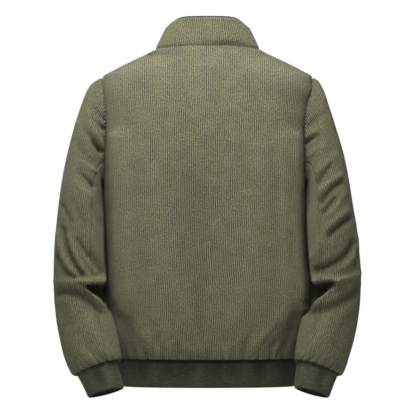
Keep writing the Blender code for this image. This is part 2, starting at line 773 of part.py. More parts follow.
def make_slider():
    """The slider at the top of the teeth, with the bridge that holds its pull tab."""
    top = SLIDER_BOTTOM + SLIDER_LENGTH
    bar_back = SLIDER_FACE - BRIDGE_OPENING
    bar_front = bar_back - BRIDGE_BAR
    slider = keep(
        block(
            "zip_slider",
            (-SLIDER_HALF_WIDTH, SLIDER_FACE, SLIDER_BOTTOM),
            (SLIDER_HALF_WIDTH, SLIDER_FACE + SLIDER_DEPTH, top),
        ),
        metal,
    )
    foot_back = SLIDER_FACE + BRIDGE_BAR
    spans = (
        (foot_back, BRIDGE_LOWER_FOOT - BRIDGE_BAR / 2, BRIDGE_LOWER_FOOT + BRIDGE_BAR / 2),
        (foot_back, BRIDGE_UPPER_FOOT - BRIDGE_BAR / 2, BRIDGE_UPPER_FOOT + BRIDGE_BAR / 2),
        (bar_back, BRIDGE_LOWER_FOOT - BRIDGE_BAR / 2, BRIDGE_UPPER_FOOT + BRIDGE_BAR / 2),
    )
    for number, (back, low, high) in enumerate(spans):
        limb = block(
            f"bridge_limb_{number}",
            (-BRIDGE_HALF_WIDTH, bar_front, low),
            (BRIDGE_HALF_WIDTH, back, high),
        )
        hide_as_tool(limb)
        join = slider.modifiers.new(limb.name, "BOOLEAN")
        join.operation = "UNION"
        join.object = limb


def hide_as_tool(piece):
    for collection in list(piece.users_collection):
        collection.objects.unlink(piece)
    tools.objects.link(piece)
    piece.hide_render = True
    piece.display_type = "WIRE"


def make_pull():
    """The pull tab: a flat plate with an eye, hung by its top bar in the slider's bridge."""
    low_centre = PULL_HALF_WIDTH - PULL_LENGTH
    end = [
        (
            PULL_HALF_WIDTH * math.cos(math.pi * step / PULL_END_STEPS),
            low_centre - PULL_HALF_WIDTH * math.sin(math.pi * step / PULL_END_STEPS),
        )
        for step in range(PULL_END_STEPS + 1)
    ]
    top = PULL_PIN / 2
    outline = [(-PULL_HALF_WIDTH, top), (PULL_HALF_WIDTH, top)] + end
    eye_low = -top - PULL_EYE_LENGTH
    eye = [
        (-PULL_EYE_HALF_WIDTH, -top),
        (PULL_EYE_HALF_WIDTH, -top),
        (PULL_EYE_HALF_WIDTH, eye_low),
        (-PULL_EYE_HALF_WIDTH, eye_low),
    ]
    plate = bpy.data.curves.new("zip_pull", "CURVE")
    plate.dimensions = "2D"
    plate.fill_mode = "BOTH"
    plate.extrude = PULL_THICKNESS / 2
    for corners in (outline, eye):
        spline = plate.splines.new("POLY")
        spline.points.add(len(corners) - 1)
        for point, (across, along) in zip(spline.points, corners):
            point.co = (across, along, 0, 1)
        spline.use_cyclic_u = True
    pull = bpy.data.objects.new("zip_pull", plate)
    pull.rotation_euler = (math.radians(90), 0, 0)
    pull.location = (0, SLIDER_FACE - BRIDGE_OPENING / 2, PULL_AXIS)
    keep(pull, metal)


make_back()
make_front(LEFT)
make_front(RIGHT)
for side in (LEFT, RIGHT):
    make_sleeve(side)
    make_cuff(side)
make_hem_band()
make_collar()
make_collar_inner()
for side in (LEFT, RIGHT):
    make_tape(side)
make_teeth()
make_slider()
make_pull()
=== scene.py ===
"""A corduroy jacket with a stand collar and a front zip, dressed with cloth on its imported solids.

Metres, +Z up. The front faces -Y and the wearer's left is +X. The origin is the middle of the neck.
"""

import math
from collections import namedtuple

import bpy
import numpy as np
from mathutils import Matrix, Vector
from mathutils.bvhtree import BVHTree


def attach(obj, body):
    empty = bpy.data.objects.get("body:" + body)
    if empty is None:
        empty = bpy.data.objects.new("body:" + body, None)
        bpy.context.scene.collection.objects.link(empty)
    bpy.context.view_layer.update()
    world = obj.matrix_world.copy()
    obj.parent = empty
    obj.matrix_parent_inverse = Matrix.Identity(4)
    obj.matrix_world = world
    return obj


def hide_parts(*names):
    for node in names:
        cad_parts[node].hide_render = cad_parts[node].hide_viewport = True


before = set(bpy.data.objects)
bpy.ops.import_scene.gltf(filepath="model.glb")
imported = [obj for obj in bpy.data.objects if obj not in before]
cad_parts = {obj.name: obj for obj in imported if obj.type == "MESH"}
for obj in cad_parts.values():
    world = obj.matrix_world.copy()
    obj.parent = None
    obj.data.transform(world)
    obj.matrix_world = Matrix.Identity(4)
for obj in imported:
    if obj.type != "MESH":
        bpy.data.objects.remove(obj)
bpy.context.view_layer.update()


# ---- Camera, floor and studio light ----
# The jacket is seen square from behind through a long lens, over a pale floor. One soft light is
# above it, one beside the camera and one for its front, in a weak, slightly green fill.

VIEW_DISTANCE = 8.0
VIEW_CENTRE = (-0.0010, 0.040, -0.3200)
VIEW_WIDTH = 0.832  # how much of the jacket's own plane fits across the frame
FLOOR_HEIGHT = -1.47  # a wearer's feet
FLOOR_HALF_SIZE = 6.0
FLOOR_COLOUR = (0.80, 0.80, 0.79, 1)
FILL_COLOUR = (0.93, 1.0, 0.93, 1)
FILL_STRENGTH = 0.26
LIGHTS_AIM = (0, 0, -0.30)


def new_object(name, data):
    """An object of the scene that shows this data."""
    thing = bpy.data.objects.new(name, data)
    bpy.context.scene.collection.objects.link(thing)
    return thing


camera_data = bpy.data.cameras.new("camera")
camera_data.sensor_width = 36.0
camera_data.lens = camera_data.sensor_width * VIEW_DISTANCE / VIEW_WIDTH
camera_data.clip_end = 100.0
camera = new_object("camera", camera_data)
camera.location = (VIEW_CENTRE[0], VIEW_CENTRE[1] + VIEW_DISTANCE, VIEW_CENTRE[2])
camera.rotation_euler = (math.radians(90), 0, math.radians(180))
bpy.context.scene.camera = camera

floor_mesh = bpy.data.meshes.new("floor")
corners = ((-1, -1), (1, -1), (1, 1), (-1, 1))
corners = [(FLOOR_HALF_SIZE * across, FLOOR_HALF_SIZE * along, FLOOR_HEIGHT) for across, along in corners]
floor_mesh.from_pydata(corners, [], [(0, 1, 2, 3)])
floor = new_object("floor", floor_mesh)
floor_paint = bpy.data.materials.new("floor_paint")
floor_paint.use_nodes = True
floor_shader = floor_paint.node_tree.nodes["Principled BSDF"]
floor_shader.inputs["Base Color"].default_value = FLOOR_COLOUR
floor_shader.inputs["Roughness"].default_value = 0.7
floor_mesh.materials.append(floor_paint)

world = bpy.data.worlds.new("studio")
bpy.context.scene.world = world
world.use_nodes = True
world_nodes = world.node_tree.nodes
world_nodes["Background"].inputs["Color"].default_value = FILL_COLOUR
world_nodes["Background"].inputs["Strength"].default_value = FILL_STRENGTH
backdrop = world_nodes.new("ShaderNodeBackground")
backdrop.inputs["Color"].default_value = (1, 1, 1, 1)
backdrop.inputs["Strength"].default_value = 1.0
seen = world_nodes.new("ShaderNodeLightPath")
either = world_nodes.new("ShaderNodeMixShader")
world.node_tree.links.new(seen.outputs["Is Camera Ray"], either.inputs["Fac"])
world.node_tree.links.new(world_nodes["Background"].outputs[0], either.inputs[1])
world.node_tree.links.new(backdrop.outputs[0], either.inputs[2])
world.node_tree.links.new(either.outputs[0], world_nodes["World Output"].inputs["Surface"])

bpy.context.scene.view_settings.view_transform = "Standard"

SoftLight = namedtuple("SoftLight", "name place size power")
SOFT_LIGHTS = (
    SoftLight("top_light", (0.12, 0.80, 1.00), 0.9, 25.0),
    SoftLight("side_light", (0.45, 2.90, 0.70), 1.2, 12.5),
    SoftLight("front_light", (0.90, -2.30, 1.50), 2.0, 34.0),
)
for light in SOFT_LIGHTS:
    lamp = bpy.data.lights.new(light.name, "AREA")
    lamp.shape = "DISK"
    lamp.size = light.size
    lamp.energy = light.power
    holder = new_object(light.name, lamp)
    holder.location = light.place
    towards = Vector(LIGHTS_AIM) - Vector(light.place)
    holder.rotation_euler = towards.to_track_quat("-Z", "Y").to_euler()


# ---- Back ----
# The back panel is one width of wide-wale corduroy, cotton pile on a woven ground, cut with the
# wales upright. It is sewn to the fronts at the shoulders and sides and gathered into the hem band.

CLOTH = 0.0025
SEAM_GAP = 0.0003
SEAM_LAP = 0.0004  # how far two sewn edges press into each other
HEM_HEIGHT = -0.622
UNDERARM = -0.298
SHOULDER_POINT = -0.058
ARMHOLE_MIDDLE = (SHOULDER_POINT + UNDERARM) / 2
ARMHOLE_HALF_HEIGHT = (SHOULDER_POINT - UNDERARM) / 2
ARMHOLE_HALF_DEPTH = 0.055
NECK_HALF_WIDTH = 0.105
NECK_BACK = 0.062
NECK_FRONT = 0.075
NECK_SEAM_LOWEST = -0.110  # heights between which the neck seam is looked for
NECK_SEAM_HIGHEST = 0.013
FRONT_EDGE = 0.006
BACK, FRONT = 1, -1
LEFT, RIGHT = 1, -1

BodySection = namedtuple("BodySection", "height half_width back front middle squareness")
BODY_SECTIONS = [BodySection(*row) for row in (
    (-0.622, 0.184, 0.119, 0.1155, 0.000, 2.3),
    (-0.600, 0.190, 0.126, 0.1190, 0.000, 2.3),
    (-0.560, 0.1985, 0.130, 0.1230, -0.0025, 2.3),
    (-0.520, 0.2040, 0.131, 0.1260, -0.0045, 2.3),
    (-0.480, 0.2045, 0.131, 0.1280, -0.003, 2.35),
    (-0.440, 0.2025, 0.131, 0.1300, 0.000, 2.4),
    (-0.400, 0.2015, 0.131, 0.1310, 0.0025, 2.45),
    (-0.340, 0.2010, 0.130, 0.1310, 0.0045, 2.5),
    (-0.298, 0.2025, 0.129, 0.1300, 0.006, 2.5),
    (-0.250, 0.2070, 0.128, 0.1280, 0.006, 2.5),
    (-0.200, 0.2115, 0.125, 0.1220, 0.006, 2.5),
    (-0.150, 0.2115, 0.120, 0.1110, 0.005, 2.5),
    (-0.110, 0.2110, 0.113, 0.0960, 0.003, 2.45),
    (-0.080, 0.2125, 0.105, 0.0800, 0.000, 2.4),
    (-0.058, 0.2115, 0.097, 0.0705, 0.000, 2.3),
    (-0.042, 0.1870, 0.090, 0.0630, 0.000, 2.25),
    (-0.024, 0.1515, 0.081, 0.0560, 0.000, 2.2),
    (-0.010, 0.1220, 0.073, 0.0490, 0.000, 2.2),
    (-0.001, 0.1050, 0.067, 0.0430, 0.000, 2.2),
    (0.006, 0.0900, 0.061, 0.0360, 0.000, 2.2),
    (0.014, 0.0600, 0.050, 0.0250, 0.000, 2.2),
)]
WALE_GUIDE_HEIGHT = -0.10  # above it the wales run straight up over the shoulders

SIDE_SHARE = 0.55  # share of a panel's outer edge that runs up the side, below the armhole
SHOULDER_SHARE = 0.24  # share of the back's top edge that each shoulder seam takes
NECK_SEAM_TURN = 0.3  # degrees by which a neck seam ends short of the shoulder line
BACK_COLUMNS = 190
BODY_ROWS = 170
OUTERMOST = 1.001  # share of the half width at which a panel ends
SEAM_STEPS = (0.0, 0.0007, 0.0018, 0.0036)  # how close to a panel's edge its first points lie
SEAM_ROLL = 0.0016  # how far an edge turns in where it is sewn
SEAM_ROLL_WIDTH = 0.0026

# Painted shade in the narrow gap where the sleeves rest against the body's sides
GAP_TOP = -0.180
GAP_BOTTOM = -0.530
GAP_FADE = 0.030
GAP_WIDTH = 0.0011
GAP_SHADE = 0.0110
# The shade of the hanging sleeves on the lower part of the armhole seams
ARMHOLE_SHADE = 0.0160
ARMHOLE_SHADE_WIDTH = 0.0130
ARMHOLE_SHADE_TOP = -0.095
ARMHOLE_SHADE_FADE = 0.070


def in_metres(kind, rows):
    """The rows of a table that is written in millimetres."""
    return tuple(kind(*(value / 1000 for value in row)) for row in rows)


# Troughs and ridges of the cloth, each on a curve through three places seen from the face it is on:
# distance from the middle plane and height. Depth is out of the cloth and drop is down. A group of
# folds lies on one side of the jacket and on one of its faces.
Fold = namedtuple(
    "Fold", "x_1 z_1 x_2 z_2 x_3 z_3 depth_1 depth_2 width_1 width_2 drop", defaults=(0.0,)
)
FOLD_STEPS = 8
FOLD_FADE = 1.8  # how fast folds grow from the side line of a sleeve towards its front or back
BACK_FOLDS = {
    (LEFT, BACK): in_metres(Fold, (
        (186, -180, 184, -340, 180, -520, 4, 4, 11, 11),
        (168, -180, 166, -340, 160, -500, 3.5, 3, 18, 18),
        (122, -6, 92, -10.5, 60, -9, -4.6, -2, 5, 7),
        (196, -85, 150, -52, 85, -30, 2.2, 1.2, 16, 20),
        (98, -575, 106, -592, 112, -610, -1.6, -2.8, 8, 6),
        (70, -580, 60, -595, 52, -610, -1.4, -2.4, 8, 6),
        (184, -520, 165, -560, 150, -606, -3, -3, 12, 8),
        (160, -545, 146, -575, 128, -610, -2, -2.6, 11, 7),
        (120, -570, 112, -590, 100, -612, 1.8, 1.2, 12, 9),
        (110, -9, 158, -32, 208, -58, -2.2, -1.8, 5, 5),
        (30, -290, 0, -420, 10, -540, -1.6, -1.2, 50, 40),
        (120, -200, 105, -330, 95, -470, 1.6, 1.4, 38, 42),
    )),
    (RIGHT, BACK): in_metres(Fold, (
        (178, -180, 180, -340, 188, -520, 4.8, 6.4, 11, 11),
        (158, -180, 158, -340, 160, -500, 3.5, 3, 18, 18),
        (116, -9, 92, -12, 70, -10, -1.4, -0.6, 6, 9),
        (196, -85, 150, -52, 85, -30, 2.2, 1.2, 16, 20),
        (188, -515, 160, -560, 118, -604, -3.4, -3, 12, 9),
        (172, -560, 158, -585, 140, -612, -3, -4, 9, 6),
        (150, -530, 130, -560, 100, -590, 2.6, 2.4, 14, 11),
        (140, -556, 125, -572, 111, -590, -2.4, -3.4, 7, 6),
        (92, -560, 80, -580, 70, -606, -1.6, -2.6, 9, 7),
        (110, -9, 158, -32, 208, -58, -2.2, -1.8, 5, 5),
        (110, -180, 95, -330, 80, -480, 1.8, 1.4, 40, 45),
    )),
}

# Puckers where a panel is gathered into the hem: distance from the middle plane, left positive,
# how far up the pucker reaches, how it leans across on the way, and its depth and width.
Pucker = namedtuple("Pucker", "across reach lean depth width")
PUCKER_WIDENS = 0.8  # how much wider a pucker is where it ends, as a share of its width
PUCKER_RIDGE = 0.55  # how far its ridge stands out, as a share of its trough's depth
HEM_TURN = 0.0034  # how far in a gathered edge is held by the band
HEM_TURN_HEIGHT = 0.0034
BACK_PUCKERS = in_metres(Pucker, (
    (171, 30, 6, 3.75, 4.2), (160, 46, 10, 5, 5), (149, 22, 3, 3, 3.6), (141, 34, 6, 3.5, 4.4),
    (129, 18, 2, 2.75, 3.4), (120, 40, 7, 4, 4.6), (104, 26, 3, 3.5, 3.8), (96, 18, -1, 2.5, 3.2),
    (88, 36, 4, 3.25, 4.2), (73, 22, 2, 2.75, 3.6), (61, 30, 3, 3, 4), (44, 18, 0, 2.25, 3.4),
    (33, 26, 2, 2.75, 3.8), (15, 20, -1, 2.5, 3.6), (1, 28, 1, 2.75, 4), (-18, 18, -1, 2.25, 3.4),
    (-30, 24, 1, 2.5, 3.6), (-47, 30, -3, 3, 4), (-59, 18, -1, 2.25, 3.2), (-72, 26, -2, 3, 3.8),
    (-87, 20, -1, 2.75, 3.4), (-99, 38, -5, 3.5, 4.2), (-113, 22, -2, 3, 3.6), (-125, 42, -8, 4, 4.6),
    (-139, 26, -3, 3.5, 3.8), (-150, 48, -10, 4.75, 5), (-163, 30, -5, 3.75, 4.2),
    (-173, 24, -4, 3.25, 3.8),
))

PILE_RIDGE_COLOUR = (0.222, 0.218, 0.134, 1)
PILE_GROOVE_COLOUR = (0.066, 0.067, 0.037, 1)
PILE_WARM_COLOUR = (0.240, 0.212, 0.130, 1)
PILE_COOL_COLOUR = (0.192, 0.212, 0.132, 1)
PILE_HEIGHT = 0.0016
PILE_STRETCH = (1.0, 0.75, 1.0)  # tufts are a little longer along the wales
WALE_PITCH = 0.0043
WALE_WANDER = 0.0026
WALE_ROUNDNESS = 0.75  # power of its section: less is flatter on top
MOST_RUBBED = 0.8  # how much of a wale's form goes where the pile is worn
RUBBED_CROWN = (0.66, 0.66, 0.66, 1)
# Painted light and shade: the cloth is painted this much lighter for each metre that it stands out, and
# darker in a crease.
LIGHT_A_METRE = 75.0  # how much lighter cloth looks for each metre that it stands out
GROUND_COLOUR = (0.110, 0.106, 0.068, 1)
THREADS_A_METRE = 1400.0
THREAD_HEIGHT = 0.0003


def curve_through(xs, ys, at):
    """Values of a smooth curve through points in order, which never overshoots them."""
    xs = np.asarray(xs, float)
    ys = np.asarray(ys, float)
    run = np.diff(xs)
    slope = np.diff(ys) / run
    turning = slope[:-1] * slope[1:] <= 0
    total = np.where(turning, 1.0, slope[:-1] + slope[1:])
    inner = np.where(turning, 0.0, 2 * slope[:-1] * slope[1:] / total)
    tangent = np.concatenate([slope[:1], inner, slope[-1:]])
    at = np.clip(at, xs[0], xs[-1])
    k = np.clip(np.searchsorted(xs, at, side="right") - 1, 0, len(run) - 1)
    share = (at - xs[k]) / run[k]
    rise = ys[k + 1] - ys[k]
    start = tangent[k] * run[k]
    end = tangent[k + 1] * run[k]
    bend = 3 * rise - 2 * start - end
    return ys[k] + share * start + share**2 * bend + share**3 * (start + end - 2 * rise)


def row_at(rows, place):
    """The values of a table at places along its first column, as a row of arrays."""
    columns = list(zip(*rows))
    values = [curve_through(columns[0], column, place) for column in columns[1:]]
    return type(rows[0])(place, *values)


def signed_power(value, power):
    """A power of the value's size, with the value's own sign."""
    return np.sign(value) * np.abs(value) ** power


def bell(distance, width):
    """1 at no distance, and less and less further off."""
    return np.exp(-((distance / width) ** 2))


def ramp(run, length):
    """0 before a run begins, and 1 once it has this length."""
    return np.clip(run / length, 0, 1)


def depth_towards(section, depth):
    """A section's depth behind or in front of its middle, whichever side these places are on."""
    return np.where(depth > 0, section.back, section.front)


def section_point(sections, angle, height):
    """Outer points of the sections: angle 0 at the wearer's left side, 90 at the centre back."""
    angle, height = np.broadcast_arrays(angle, height)
    section = row_at(sections, height)
    turn = np.radians(angle)
    power = 2 / section.squareness
    across = section.middle + section.half_width * signed_power(np.cos(turn), power)
    depth = depth_towards(section, np.sin(turn)) * signed_power(np.sin(turn), power)
    return np.stack([across, depth, height], axis=-1)


def angle_at_depth(sections, depth, height):
    """Angle on the wearer's left at which a section has this depth."""
    section = row_at(sections, height)
    share = np.minimum(np.abs(depth) / depth_towards(section, depth), 1.0)
    share = share ** (section.squareness / 2)
    return np.degrees(np.copysign(np.arcsin(share), depth))


def angle_across(sections, across, height):
    """Angle, up to 90, at which a section is this far from the middle plane."""
    section = row_at(sections, height)
    share = np.clip((across - section.middle) / section.half_width, -1, 1)
    return np.degrees(np.arccos(signed_power(share, section.squareness / 2)))


def neck_place(turn):
    """Angle and height on the body of the neck seam, found below its oval plan."""
    turn = np.asarray(turn, float)
    across = NECK_HALF_WIDTH * np.cos(np.radians(turn))
    around = np.sin(np.radians(turn))
    depth = around * np.where(around > 0, NECK_BACK, NECK_FRONT)
    low = np.full(turn.shape, NECK_SEAM_LOWEST)
    high = np.full(turn.shape, NECK_SEAM_HIGHEST)
    for _ in range(30):
        height = (low + high) / 2
        section = row_at(BODY_SECTIONS, height)
        most = depth_towards(section, depth)
        power = section.squareness
        wide = (np.abs(across) / section.half_width) ** power
        outside = wide + (np.abs(depth) / most) ** power
        low = np.where(outside < 1, height, low)
        high = np.where(outside < 1, high, height)
    sine = signed_power(depth / most, power / 2)
    cosine = signed_power(across / section.half_width, power / 2)
    return np.degrees(np.arctan2(sine, cosine)), height


NECK_POINT = float(neck_place(0.0)[1])


def outer_edge(share, face):
    """Places on a panel's outer edge on the wearer's left: up the side, then round the armhole."""
    share = np.asarray(share, float)
    turn = np.radians(180 * (share - SIDE_SHARE) / (1 - SIDE_SHARE) - 90)
    on_side = share <= SIDE_SHARE
    side_height = HEM_HEIGHT + (UNDERARM - HEM_HEIGHT) * share / SIDE_SHARE
    height = np.where(on_side, side_height, ARMHOLE_MIDDLE + ARMHOLE_HALF_HEIGHT * np.sin(turn))
    reach = np.sqrt(np.maximum(1 - ((height - ARMHOLE_MIDDLE) / ARMHOLE_HALF_HEIGHT) ** 2, 0))
    depth = np.where(on_side, 0.0, ARMHOLE_HALF_DEPTH * reach)
    return angle_at_depth(BODY_SECTIONS, face * (depth - SEAM_LAP / 2), height), height


def shoulder_edge(share, face):
    """Places on the left shoulder seam, from the shoulder point to the neck point."""
    height = SHOULDER_POINT + (NECK_POINT - SHOULDER_POINT) * np.asarray(share, float)
    return angle_at_depth(BODY_SECTIONS, -face * SEAM_LAP / 2 + 0 * height, height), height


def other_side(place):
    """The same place on the other side of the body."""
    return 180 - place[0], place[1]


def back_top_edge(share):
    """Places along the back's top edge: left shoulder seam, neck seam, right shoulder seam."""
    share = np.asarray(share, float)
    left = shoulder_edge(share / SHOULDER_SHARE, BACK)
    right = other_side(shoulder_edge((1 - share) / SHOULDER_SHARE, BACK))
    turn = 180 * (share - SHOULDER_SHARE) / (1 - 2 * SHOULDER_SHARE)
    neck = neck_place(np.clip(turn, NECK_SEAM_TURN, 180 - NECK_SEAM_TURN))
    on_left = share < SHOULDER_SHARE
    on_right = share > 1 - SHOULDER_SHARE
    return tuple(np.where(on_left, left[k], np.where(on_right, right[k], neck[k])) for k in (0, 1))


def to_flat(place, face):
    """Places on a body panel as it lies flat: across from its centre line, and height."""
    angle, height = place
    return (90 - face * angle) / 90 * row_at(BODY_SECTIONS, height).half_width, height


def from_flat(across, height, face):
    """Places on the body of places on a panel as it lies flat."""
    share = np.clip(across / row_at(BODY_SECTIONS, height).half_width, -OUTERMOST, OUTERMOST)
    return face * 90 * (1 - share), height


def patch(columns, rows, face, bottom, top, left, right):
    """Places spread evenly between a panel's four edges, each given as places at those shares."""
    low, high = (np.stack(to_flat(edge, face))[:, None, :] for edge in (bottom, top))
    near, far = (np.stack(to_flat(edge, face))[:, :, None] for edge in (left, right))
    along = columns[None, None, :]
    up = rows[None, :, None]
    flat = (
        (1 - up) * low
        + up * high
        + (1 - along) * near
        + along * far
        - (1 - up) * ((1 - along) * low[..., :1] + along * low[..., -1:])
        - up * ((1 - along) * high[..., :1] + along * high[..., -1:])
    )
    return from_flat(flat[0], flat[1], face)


def seam_shares(count, length):
    """Shares along a width of cloth with close steps beside both of its sewn edges."""
    edge = np.array(SEAM_STEPS) / length
    inner = np.linspace(edge[-1], 1 - edge[-1], count)
    return np.concatenate([edge[:-1], inner, 1 - edge[-2::-1]])


def grid_normals(points, closed=False):
    """Normals of a grid of points, out of the face that its columns and rows turn round."""
    if closed:
        across = np.roll(points, -1, axis=1) - np.roll(points, 1, axis=1)
    else:
        across = np.gradient(points, axis=1)
    normal = np.cross(across, np.gradient(points, axis=0))
    return normal / np.maximum(np.linalg.norm(normal, axis=-1, keepdims=True), 1e-12)


def steps_along(points, axis):
    """Length run along a grid's rows or columns, from its first one."""
    step = np.linalg.norm(np.diff(points, axis=axis), axis=-1)
    start = np.zeros_like(np.take(step, [0], axis=axis))
    return np.concatenate([start, np.cumsum(step, axis=axis)], axis=axis)


def edge_roll(points, closed=False, foot=True, head=True, roll=SEAM_ROLL):
    """How far the sewn edges of a grid turn in, at each of its points."""
    along = steps_along(points, 0)
    near = np.full(along.shape, 1.0)
    if not closed:
        across = steps_along(points, 1)
        near = np.minimum(across, across[:, -1:] - across)
    if foot:
        near = np.minimum(near, along)
    if head:
        near = np.minimum(near, along[-1:] - along)
    return -roll * bell(near, SEAM_ROLL_WIDTH)


def along_fold(fold, across, height):
    """How far points lie from a fold's curve, and the share of its way where they are nearest."""
    share = np.linspace(0, 1, FOLD_STEPS + 1)
    # The middle place lies on the curve, so its control point lies as far again beyond it.
    line_x, line_z = (
        (1 - share) ** 2 * first
        + 2 * share * (1 - share) * (2 * middle - (first + last) / 2)
        + share**2 * last
        for first, middle, last in ((fold.x_1, fold.x_2, fold.x_3), (fold.z_1, fold.z_2, fold.z_3))
    )
    nearest = np.full(across.shape, np.inf)
    place = np.zeros(across.shape)
    for k in range(FOLD_STEPS):
        run_x, run_z = line_x[k + 1] - line_x[k], line_z[k + 1] - line_z[k]
        from_x, from_z = across - line_x[k], height - line_z[k]
        part = ramp(from_x * run_x + from_z * run_z, run_x**2 + run_z**2)
        distance = np.hypot(from_x - part * run_x, from_z - part * run_z)
        closer = distance < nearest
        nearest = np.where(closer, distance, nearest)
        place = np.where(closer, (k + part) / FOLD_STEPS, place)
    return nearest, place


def fold_moves(folds, side_of_point, across, height, face_share):
    """How far folds push points out of the cloth and down; face_share is 1 facing the back."""
    out = np.zeros(across.shape)
    down = np.zeros(across.shape)
    for (side, face), group in folds.items():
        weight = np.clip(face_share * face * FOLD_FADE, 0, 1) * (side_of_point == side)
        for fold in group:
            distance, place = along_fold(fold, across, height)
            depth = fold.depth_1 + (fold.depth_2 - fold.depth_1) * place
            width = fold.width_1 + (fold.width_2 - fold.width_1) * place
            amount = weight * bell(distance, width)
            out += depth * amount
            down += fold.drop * amount
    return out, down


def pucker_moves(puckers, across, rise):
    """How far the puckers of a gathered edge push points out, at a rise above that edge."""
    out = np.zeros(across.shape)
    for pucker in puckers:
        share = rise / pucker.reach
        line = pucker.across + pucker.lean * share
        fade = np.clip(1.15 - share, 0, 1) ** 1.5
        width = pucker.width * (1 + PUCKER_WIDENS * np.clip(share, 0, 1))
        trough = bell(across - line, width)
        ridge = bell(across - line - 2.0 * width, 1.2 * width)
        out += pucker.depth * fade * (PUCKER_RIDGE * ridge - trough)
    return out


def sewn_to_band(out, rise, share=1.0):
    """Turns the lower edge of a panel in, so that it meets the hem band between the puckers too."""
    near = share * bell(rise, HEM_TURN_HEIGHT)
    return out + near * (np.minimum(out, -HEM_TURN) - out)


def wale_arcs(face):
    """Length round the body from a panel's centre line, by height and by angle from that line."""
    heights = np.linspace(HEM_HEIGHT, WALE_GUIDE_HEIGHT, 60)
    turns = np.linspace(0, 100, 401)
    points = section_point(BODY_SECTIONS, face * (90 - turns[None, :]), heights[:, None])
    return heights, turns, steps_along(points, 1)


def wale_place(angle, height, face):
    """Distance across the cloth of the wale at each place on a body panel."""
    heights, turns, arcs = wale_arcs(face)
    guide = angle_across(
        BODY_SECTIONS,
        section_point(BODY_SECTIONS, angle, height)[..., 0],
        np.full(np.shape(height), WALE_GUIDE_HEIGHT),
    )
    turn = np.where(height > WALE_GUIDE_HEIGHT, 90 - guide, 90 - face * angle)
    row = np.interp(height, heights, np.arange(len(heights)))
    column = np.interp(np.abs(turn), turns, np.arange(len(turns)))
    r = np.minimum(row.astype(int), len(heights) - 2)
    c = np.minimum(column.astype(int), len(turns) - 2)
    down, aside = row - r, column - c
    low = arcs[r, c] * (1 - aside) + arcs[r, c + 1] * aside
    high = arcs[r + 1, c] * (1 - aside) + arcs[r + 1, c + 1] * aside
    return np.sign(turn) * (low * (1 - down) + high * down)


def side_gap(points):
    """1 on the body's sides where a sleeve lies against them, and 0 away from there."""
    height = points[..., 2]
    row = row_at(BODY_SECTIONS, height)
    short_of_side = row.half_width - np.abs(points[..., 0] - row.middle)
    along = ramp(GAP_TOP - height, GAP_FADE) * ramp(height - GAP_BOTTOM, GAP_FADE)
    return bell(np.maximum(short_of_side, 0), GAP_WIDTH) * along


def cloth_mesh(name, points, across, along, lie=None, closed=False, turned=False):
    """A grid of points as a mesh, with lengths across and along the cloth as its UV map.

    Each point can carry painted light and shade: how far it stands out, negative in a crease, less
    painted shadow.
    """
    rows, columns = points.shape[:2]
    index = np.arange(rows * columns).reshape(rows, columns)
    if closed:
        index = np.concatenate([index, index[:, :1]], axis=1)
        across = np.concatenate([across, 2 * across[:, -1:] - across[:, -2:-1]], axis=1)
        along = np.concatenate([along, along[:, :1]], axis=1)
    corners = [index[:-1, :-1], index[:-1, 1:], index[1:, 1:], index[1:, :-1]]
    lengths = np.stack([across, along], axis=-1)
    around = [lengths[:-1, :-1], lengths[:-1, 1:], lengths[1:, 1:], lengths[1:, :-1]]
    if turned:
        corners.reverse()
        around.reverse()
    faces = np.stack(corners, axis=-1).reshape(-1, 4)
    mesh = bpy.data.meshes.new(name)
    mesh.from_pydata(points.reshape(-1, 3).tolist(), [], faces.tolist())
    layer = mesh.uv_layers.new(name="cloth")
    layer.data.foreach_set("uv", np.stack(around, axis=-2).reshape(-1).astype(np.float32))
    if lie is not None:
        standing = mesh.attributes.new("lie", "FLOAT", "POINT")
        standing.data.foreach_set("value", np.ascontiguousarray(lie.reshape(-1), np.float32))
    mesh.shade_smooth()
    return mesh


def fit_piece(mesh, node, body="jacket"):
    """A finished mesh as a piece that rides on a body, in place of a node where one is given."""
    piece = new_object(mesh.name, mesh)
    if node:
        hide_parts(node)
    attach(piece, body)
    return piece


def sew_piece(mesh, wall, finishes):
    """A mesh as a piece of cloth with a wall, an outer and an inner finish, on its own node."""
    for finish in finishes:
        mesh.materials.append(finish)
    piece = fit_piece(mesh, mesh.name.removesuffix("_cloth"))
    thickness = piece.modifiers.new("wall", "SOLIDIFY")
    thickness.thickness = wall
    thickness.offset = -1.0
    thickness.material_offset = len(finishes) - 1
    return piece


